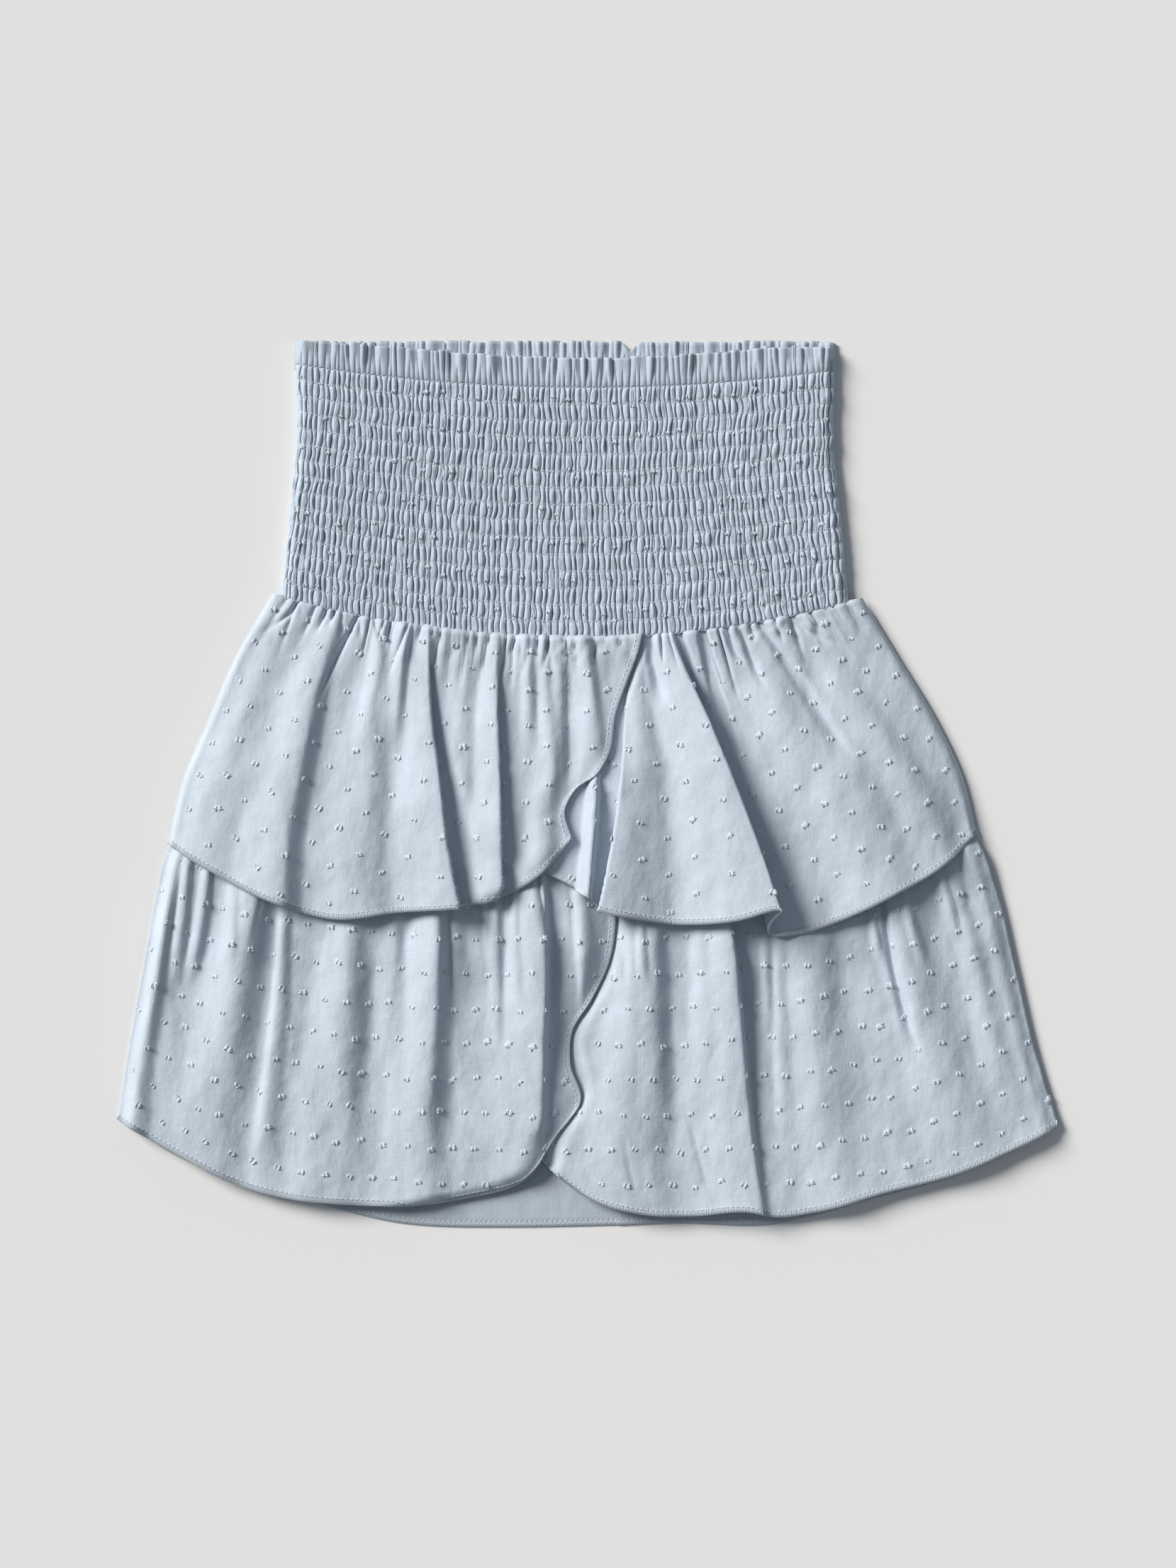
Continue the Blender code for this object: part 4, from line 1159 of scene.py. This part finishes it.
def dots(seats, axes, seed, size=1.0):
    """Each dot is two small heaps of cut thread side by side, with a few loose ends."""
    random = np.random.default_rng(seed)
    count, ends = len(seats), len(DOT_ANGLES)
    first, second, up = axes
    size = size * random.uniform(0.8, 1.15, (count, 1))
    turn = random.uniform(-0.5, 0.5, (count, 1))
    along = np.cos(turn) * first + np.sin(turn) * second
    beside = np.cos(turn) * second - np.sin(turn) * first
    angles = DOT_ANGLES[None, :] + turn + random.uniform(-0.4, 0.4, (count, ends))
    reach = size * random.uniform(0.7, 1.4, (count, ends))
    height = size * random.uniform(0.25, 0.6, (count, ends))
    root = size * (DOT_ROOTS[None, :] + random.uniform(-0.15, 0.15, (count, ends)))
    flat = np.cos(angles)[..., None] * first[:, None] + np.sin(angles)[..., None] * second[:, None]
    base = seats[:, None] + along[:, None] * root[..., None]
    steps = []
    for out, rise in ((0.1, 0.3), (0.4, 1.0), (0.75, 0.9), (1.0, 0.3)):
        steps.append(base + flat * (reach * out)[..., None] + up[:, None] * (height * rise)[..., None])
    paths = np.stack(steps, axis=2).reshape(count * ends, len(steps), 3)
    parts = [tubes(paths, [0.24, 0.28, 0.24, 0.14])]
    for side in (-PAD_APART, PAD_APART):
        centres = seats + along * side * size
        parts.append(dot_pads(centres, (along, beside, up), size, random))
    return joined(parts)


def dot_lattice(tier):
    """Places of the repeat: half-drop columns on the upper tier, half-step rows on the lower one."""
    if tier == "upper":
        columns = round(UPPER.width(1.0) / DOT_COLUMN)
        index, row = np.meshgrid(np.arange(columns), np.arange(UPPER_DOT_ROWS), indexing="ij")
        across = (index + 0.5) / columns
        down = 0.055 + (row + 0.55 * (index % 2)) * DOT_DROP / UPPER_LENGTH
    else:
        columns = round(LOWER.width(1.0) / DOT_COLUMN * 1.06)
        row, index = np.meshgrid(np.arange(LOWER_DOT_ROWS), np.arange(columns), indexing="ij")
        across = (index + 0.25 + 0.5 * (row % 2)) / columns
        down = 0.035 + row * DOT_DROP / LOWER_LENGTH
    return np.stack([across.ravel(), down.ravel()], axis=1)


def panel_dots(name, grid, across, down, clear, hidden_above):
    """Dots of one panel, clear of its edges and of what covers it."""
    tier, side = name.split("_")
    fan = TIERS[tier][0]
    lattice = dot_lattice(tier)
    random = np.random.default_rng(SEED + 60 + len(name))
    lattice = lattice + random.normal(0, 1, lattice.shape) * np.array([0.0011, 0.0035])
    flat = np.stack(fan.place(across, down), axis=-1)
    hem_run = np.linalg.norm(flat - flat[[-1]], axis=2)
    wrap_run = np.linalg.norm(flat - flat[:, [-1 if side == "left" else 0]], axis=2)
    allowed = (np.minimum(hem_run, wrap_run) > DOT_MARGIN) & (clear > 0.35) & (grid[:, :, 1] < hidden_above)
    flat, keep = flat.reshape(-1, 2), allowed.reshape(-1)
    chosen = []
    for x, y in np.stack(fan.place(lattice[:, 0], lattice[:, 1]), axis=-1):
        distance = np.hypot(flat[:, 0] - x, flat[:, 1] - y)
        nearest = int(np.argmin(distance))
        if distance[nearest] < DOT_MISS and keep[nearest]:
            chosen.append(nearest)
    first = unit(np.gradient(grid, axis=1))
    up = grid_normals(grid)
    axes = [values.reshape(-1, 3)[chosen] for values in (first, np.cross(up, first), up)]
    seats = grid.reshape(-1, 3)[chosen] + axes[2] * CLOTH
    return dots(seats, axes, SEED + 70 + len(name))


def band_dots(grid):
    """Dots caught on the ribs of the waistband."""
    random = np.random.default_rng(SEED + 80)
    rows, columns = grid.shape[:2]
    chosen = []
    for row in range(int(BAND_DOT_ROWS)):
        level = (row + 0.45) / BAND_DOT_ROWS * (rows - 1)
        for index in range(int(BAND_DOT_COLUMNS)):
            place = (index + 0.3 + 0.5 * (row % 2)) * RIBS / BAND_DOT_COLUMNS + random.uniform(-0.6, 0.6)
            rib = int(np.clip(place, 0, RIBS - 1))
            at = int(np.clip(level + random.uniform(-2.2, 2.2), 1, rows - 2))
            chosen.append(at * columns + rib * SAMPLES + SAMPLES // 2)
    axes = [np.tile(axis, (len(chosen), 1)) for axis in ((1.0, 0.0, 0.0), (0.0, -1.0, 0.0), (0.0, 0.0, 1.0))]
    return dots(grid.reshape(-1, 3)[chosen], axes, SEED + 81, BAND_DOT_SIZE)


# Overlocked edges

def border_lines(grid, side):
    """Lines of points that run inwards from one border of a cloth's upper face."""
    face = grid + grid_normals(grid) * CLOTH
    if side == "hem":
        return np.swapaxes(face[::-1], 0, 1)
    return face[:, ::-1] if side == "right" else face


def inset_line(lines, distance):
    """The line that runs a distance inwards from a border."""
    steps = np.linalg.norm(np.diff(lines, axis=1), axis=2)
    reach = np.pad(np.cumsum(steps, axis=1), ((0, 0), (1, 0)))
    places = [[np.interp(distance, run_in, line[:, axis]) for axis in range(3)]
              for line, run_in in zip(lines, reach)]
    return np.array(places)


def overlock(lines, seed):
    """Looped stitches over a raw edge, and the needle's line of stitches on their inner side."""
    random = np.random.default_rng(seed)
    edge, middle, inner = (inset_line(lines, share * EDGE_WIDTH) for share in (0.0, 0.5, 1.0))
    marks = np.concatenate([[0.0], np.cumsum(np.linalg.norm(np.diff(edge, axis=0), axis=1))])

    def sample(line, places):
        return np.stack([np.interp(places, marks, line[:, axis]) for axis in range(3)], axis=1)

    def frame_at(places):
        ahead = unit(sample(edge, places + EDGE_PITCH) - sample(edge, places - EDGE_PITCH))
        inward = unit(sample(inner, places) - sample(edge, places))
        up = np.cross(ahead, inward)
        return ahead, inward, unit(up * np.where(up[:, 2:] < 0, -1.0, 1.0))

    count = int(marks[-1] / EDGE_PITCH)
    at = EDGE_PITCH * (np.arange(count) + 0.5 + random.uniform(-0.1, 0.1, count))
    ahead, inward, up = frame_at(at)
    outer, half, deep = sample(edge, at), sample(middle, at), sample(inner, at)
    loops = np.stack([
        deep + ahead * 0.45 - up * 0.16,
        deep + ahead * 0.35 - inward * 0.25 + up * 0.02,
        half + up * 0.05,
        outer - ahead * 0.35 + up * 0.02,
        outer - ahead * 0.4 - inward * 0.08 - up * 0.24,
        outer - ahead * 0.4 + inward * 0.5 - up * 0.56,
    ], axis=1)
    needles = NEEDLE_PITCH * (np.arange(int(marks[-1] / NEEDLE_PITCH)) + 0.5)
    ahead, inward, up = frame_at(needles)
    seat = sample(inner, needles)
    stitches = np.stack([
        seat - ahead * 0.95 - up * 0.12,
        seat - ahead * 0.5 + up * 0.16,
        seat + ahead * 0.5 + up * 0.16,
        seat + ahead * 0.95 - up * 0.12,
    ], axis=1)
    loop_tubes = tubes(loops, [0.16, 0.22, 0.24, 0.24, 0.20, 0.12])
    return joined([loop_tubes, tubes(stitches, [0.14, 0.24, 0.24, 0.14])])


# Stage

def build_stage():
    signs = ((-1, -1), (1, -1), (1, 1), (-1, 1))
    corners = [(x * FLOOR_REACH, y * FLOOR_REACH, FLOOR_LEVEL) for x, y in signs]
    matt = {"Base Color": (*FLOOR, 1.0), "Roughness": 1.0, "Specular IOR Level": 0.0}
    floor = new_object("floor", corners, [[0, 1, 2, 3]], new_material("pale_floor", matt)[0])

    key = bpy.data.lights.new("key", "SUN")
    key.energy = KEY_ENERGY
    key.angle = math.radians(KEY_SOFTNESS)
    key.color = KEY_COLOUR
    made = bpy.data.objects.new("key", key)
    turn = math.radians(KEY_BEARING)
    rise = math.radians(KEY_HEIGHT)
    source = Vector((math.cos(turn) * math.cos(rise), math.sin(turn) * math.cos(rise), math.sin(rise)))
    made.rotation_euler = source.to_track_quat("Z", "Y").to_euler()
    bpy.context.scene.collection.objects.link(made)

    world = bpy.data.worlds.new("studio")
    world.use_nodes = True
    background = world.node_tree.nodes["Background"].inputs
    background["Color"].default_value = (*FILL_COLOUR, 1.0)
    background["Strength"].default_value = FILL_STRENGTH
    bpy.context.scene.world = world


def build_camera():
    """Straight above the skirt, so that the photograph's height covers 708 mm of the surface."""
    camera = bpy.data.cameras.new("camera")
    camera.lens = LENS
    camera.sensor_width = SENSOR_WIDTH
    camera.clip_end = CAMERA_REACH
    made = bpy.data.objects.new("camera", camera)
    made.location = (0.0, 0.0, CAMERA_HEIGHT)
    bpy.context.scene.collection.objects.link(made)
    bpy.context.scene.camera = made
    bpy.context.scene.view_settings.view_transform = "Standard"


# Pieces


def show(piece, slot, *nodes):
    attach(piece, "root")
    if nodes:
        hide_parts(*nodes)
    return piece


def build_band():
    grid, floor, at_rows = smocked_front(SEED + 20)
    front = show(lined_band(grid, floor), "smocked_cotton", "waistband_front")
    frills = [show(shell(name, frill_grid, FRILLED_PAINTED_SHADE), "smocked_cotton")
              for name, frill_grid in zip(("front_frill", "back_frill"), band_frills(at_rows[0]))]
    back = shell("smocked_back", smocked_back(), SMOCKED_PAINTED_SHADE, SMOCKED_CLOTH)
    show(back, "smocked_cotton", "waistband_back")
    stitches = show(new_object("shirring_thread", *row_stitches(at_rows, SEED + 21), DOTS), "smocked_cotton")
    tufts = show(new_object("band_dots", *band_dots(grid), DOTS), "smocked_cotton")


def build_tiers():
    made = {name: panel_grid(name, SEED + 50 + index) for index, name in enumerate(PANELS)}
    hem = np.concatenate([made[name][0][-1] for name in ("upper_left", "upper_right")])
    hem = hem[np.argsort(hem[:, 0])]
    for name, (grid, across, down, clear) in made.items():
        tier, side = name.split("_")
        cloth = shell(name + "_cloth", grid, DOTTED)
        show(cloth, "dotted_cotton", tier + "_tier_front_" + side)
        hidden_above = math.inf
        if tier == "lower":
            hidden_above = np.interp(grid[:, :, 0], hem[:, 0], hem[:, 1]) + DOT_HIDDEN
        tufts = panel_dots(name, grid, across, down, clear, hidden_above)
        tufts = show(new_object(name + "_dots", *tufts, DOTS), "dotted_cotton")
        wrap = border_lines(grid, "right" if side == "left" else "left")
        edges = [overlock(border_lines(grid, "hem"), SEED + 90), overlock(wrap, SEED + 91)]
        edging = show(new_object(name + "_edge", *joined(edges), EDGING), "dotted_cotton")


def back_level(x, y):
    """Lower back over the upper one, then on the surface, with the step of its centre seam."""
    return LAYER * drop_share(x, y) + CENTRE_SEAM_STEP * ease((x - CENTRE_SEAM_X) / 1.6)


def build_backs():
    upper = flat_rows(UPPER, None, lambda x, y: 0.0 * x, 60, 30)
    lower = flat_rows(LOWER, LOWER_BACK_HEM, back_level, 260, 40)
    upper_cloth = shell("upper_back_cloth", upper, DOTTED)
    # The lower back's cloth carries painted shade for the front hem's shadow on it
    lower_cloth = shell("lower_back_cloth", lower, INSIDE_PAINTED_SHADE)
    edge = overlock(border_lines(lower, "hem"), SEED + 95)
    edging = show(new_object("lower_back_edge", *edge, EDGING), "dotted_cotton")
    show(upper_cloth, "dotted_cotton", "upper_tier_back")
    show(lower_cloth, "dotted_cotton", "lower_tier_back")
    for name, level in (("yoke_back", LAYER), ("yoke_front", 2 * LAYER)):
        show(shell(name + "_cloth", yoke_grid(level), INSIDE_PAINTED_SHADE), "plain_cotton", name)


def main():
    build_camera()
    build_stage()
    build_band()
    build_tiers()
    build_backs()


main()
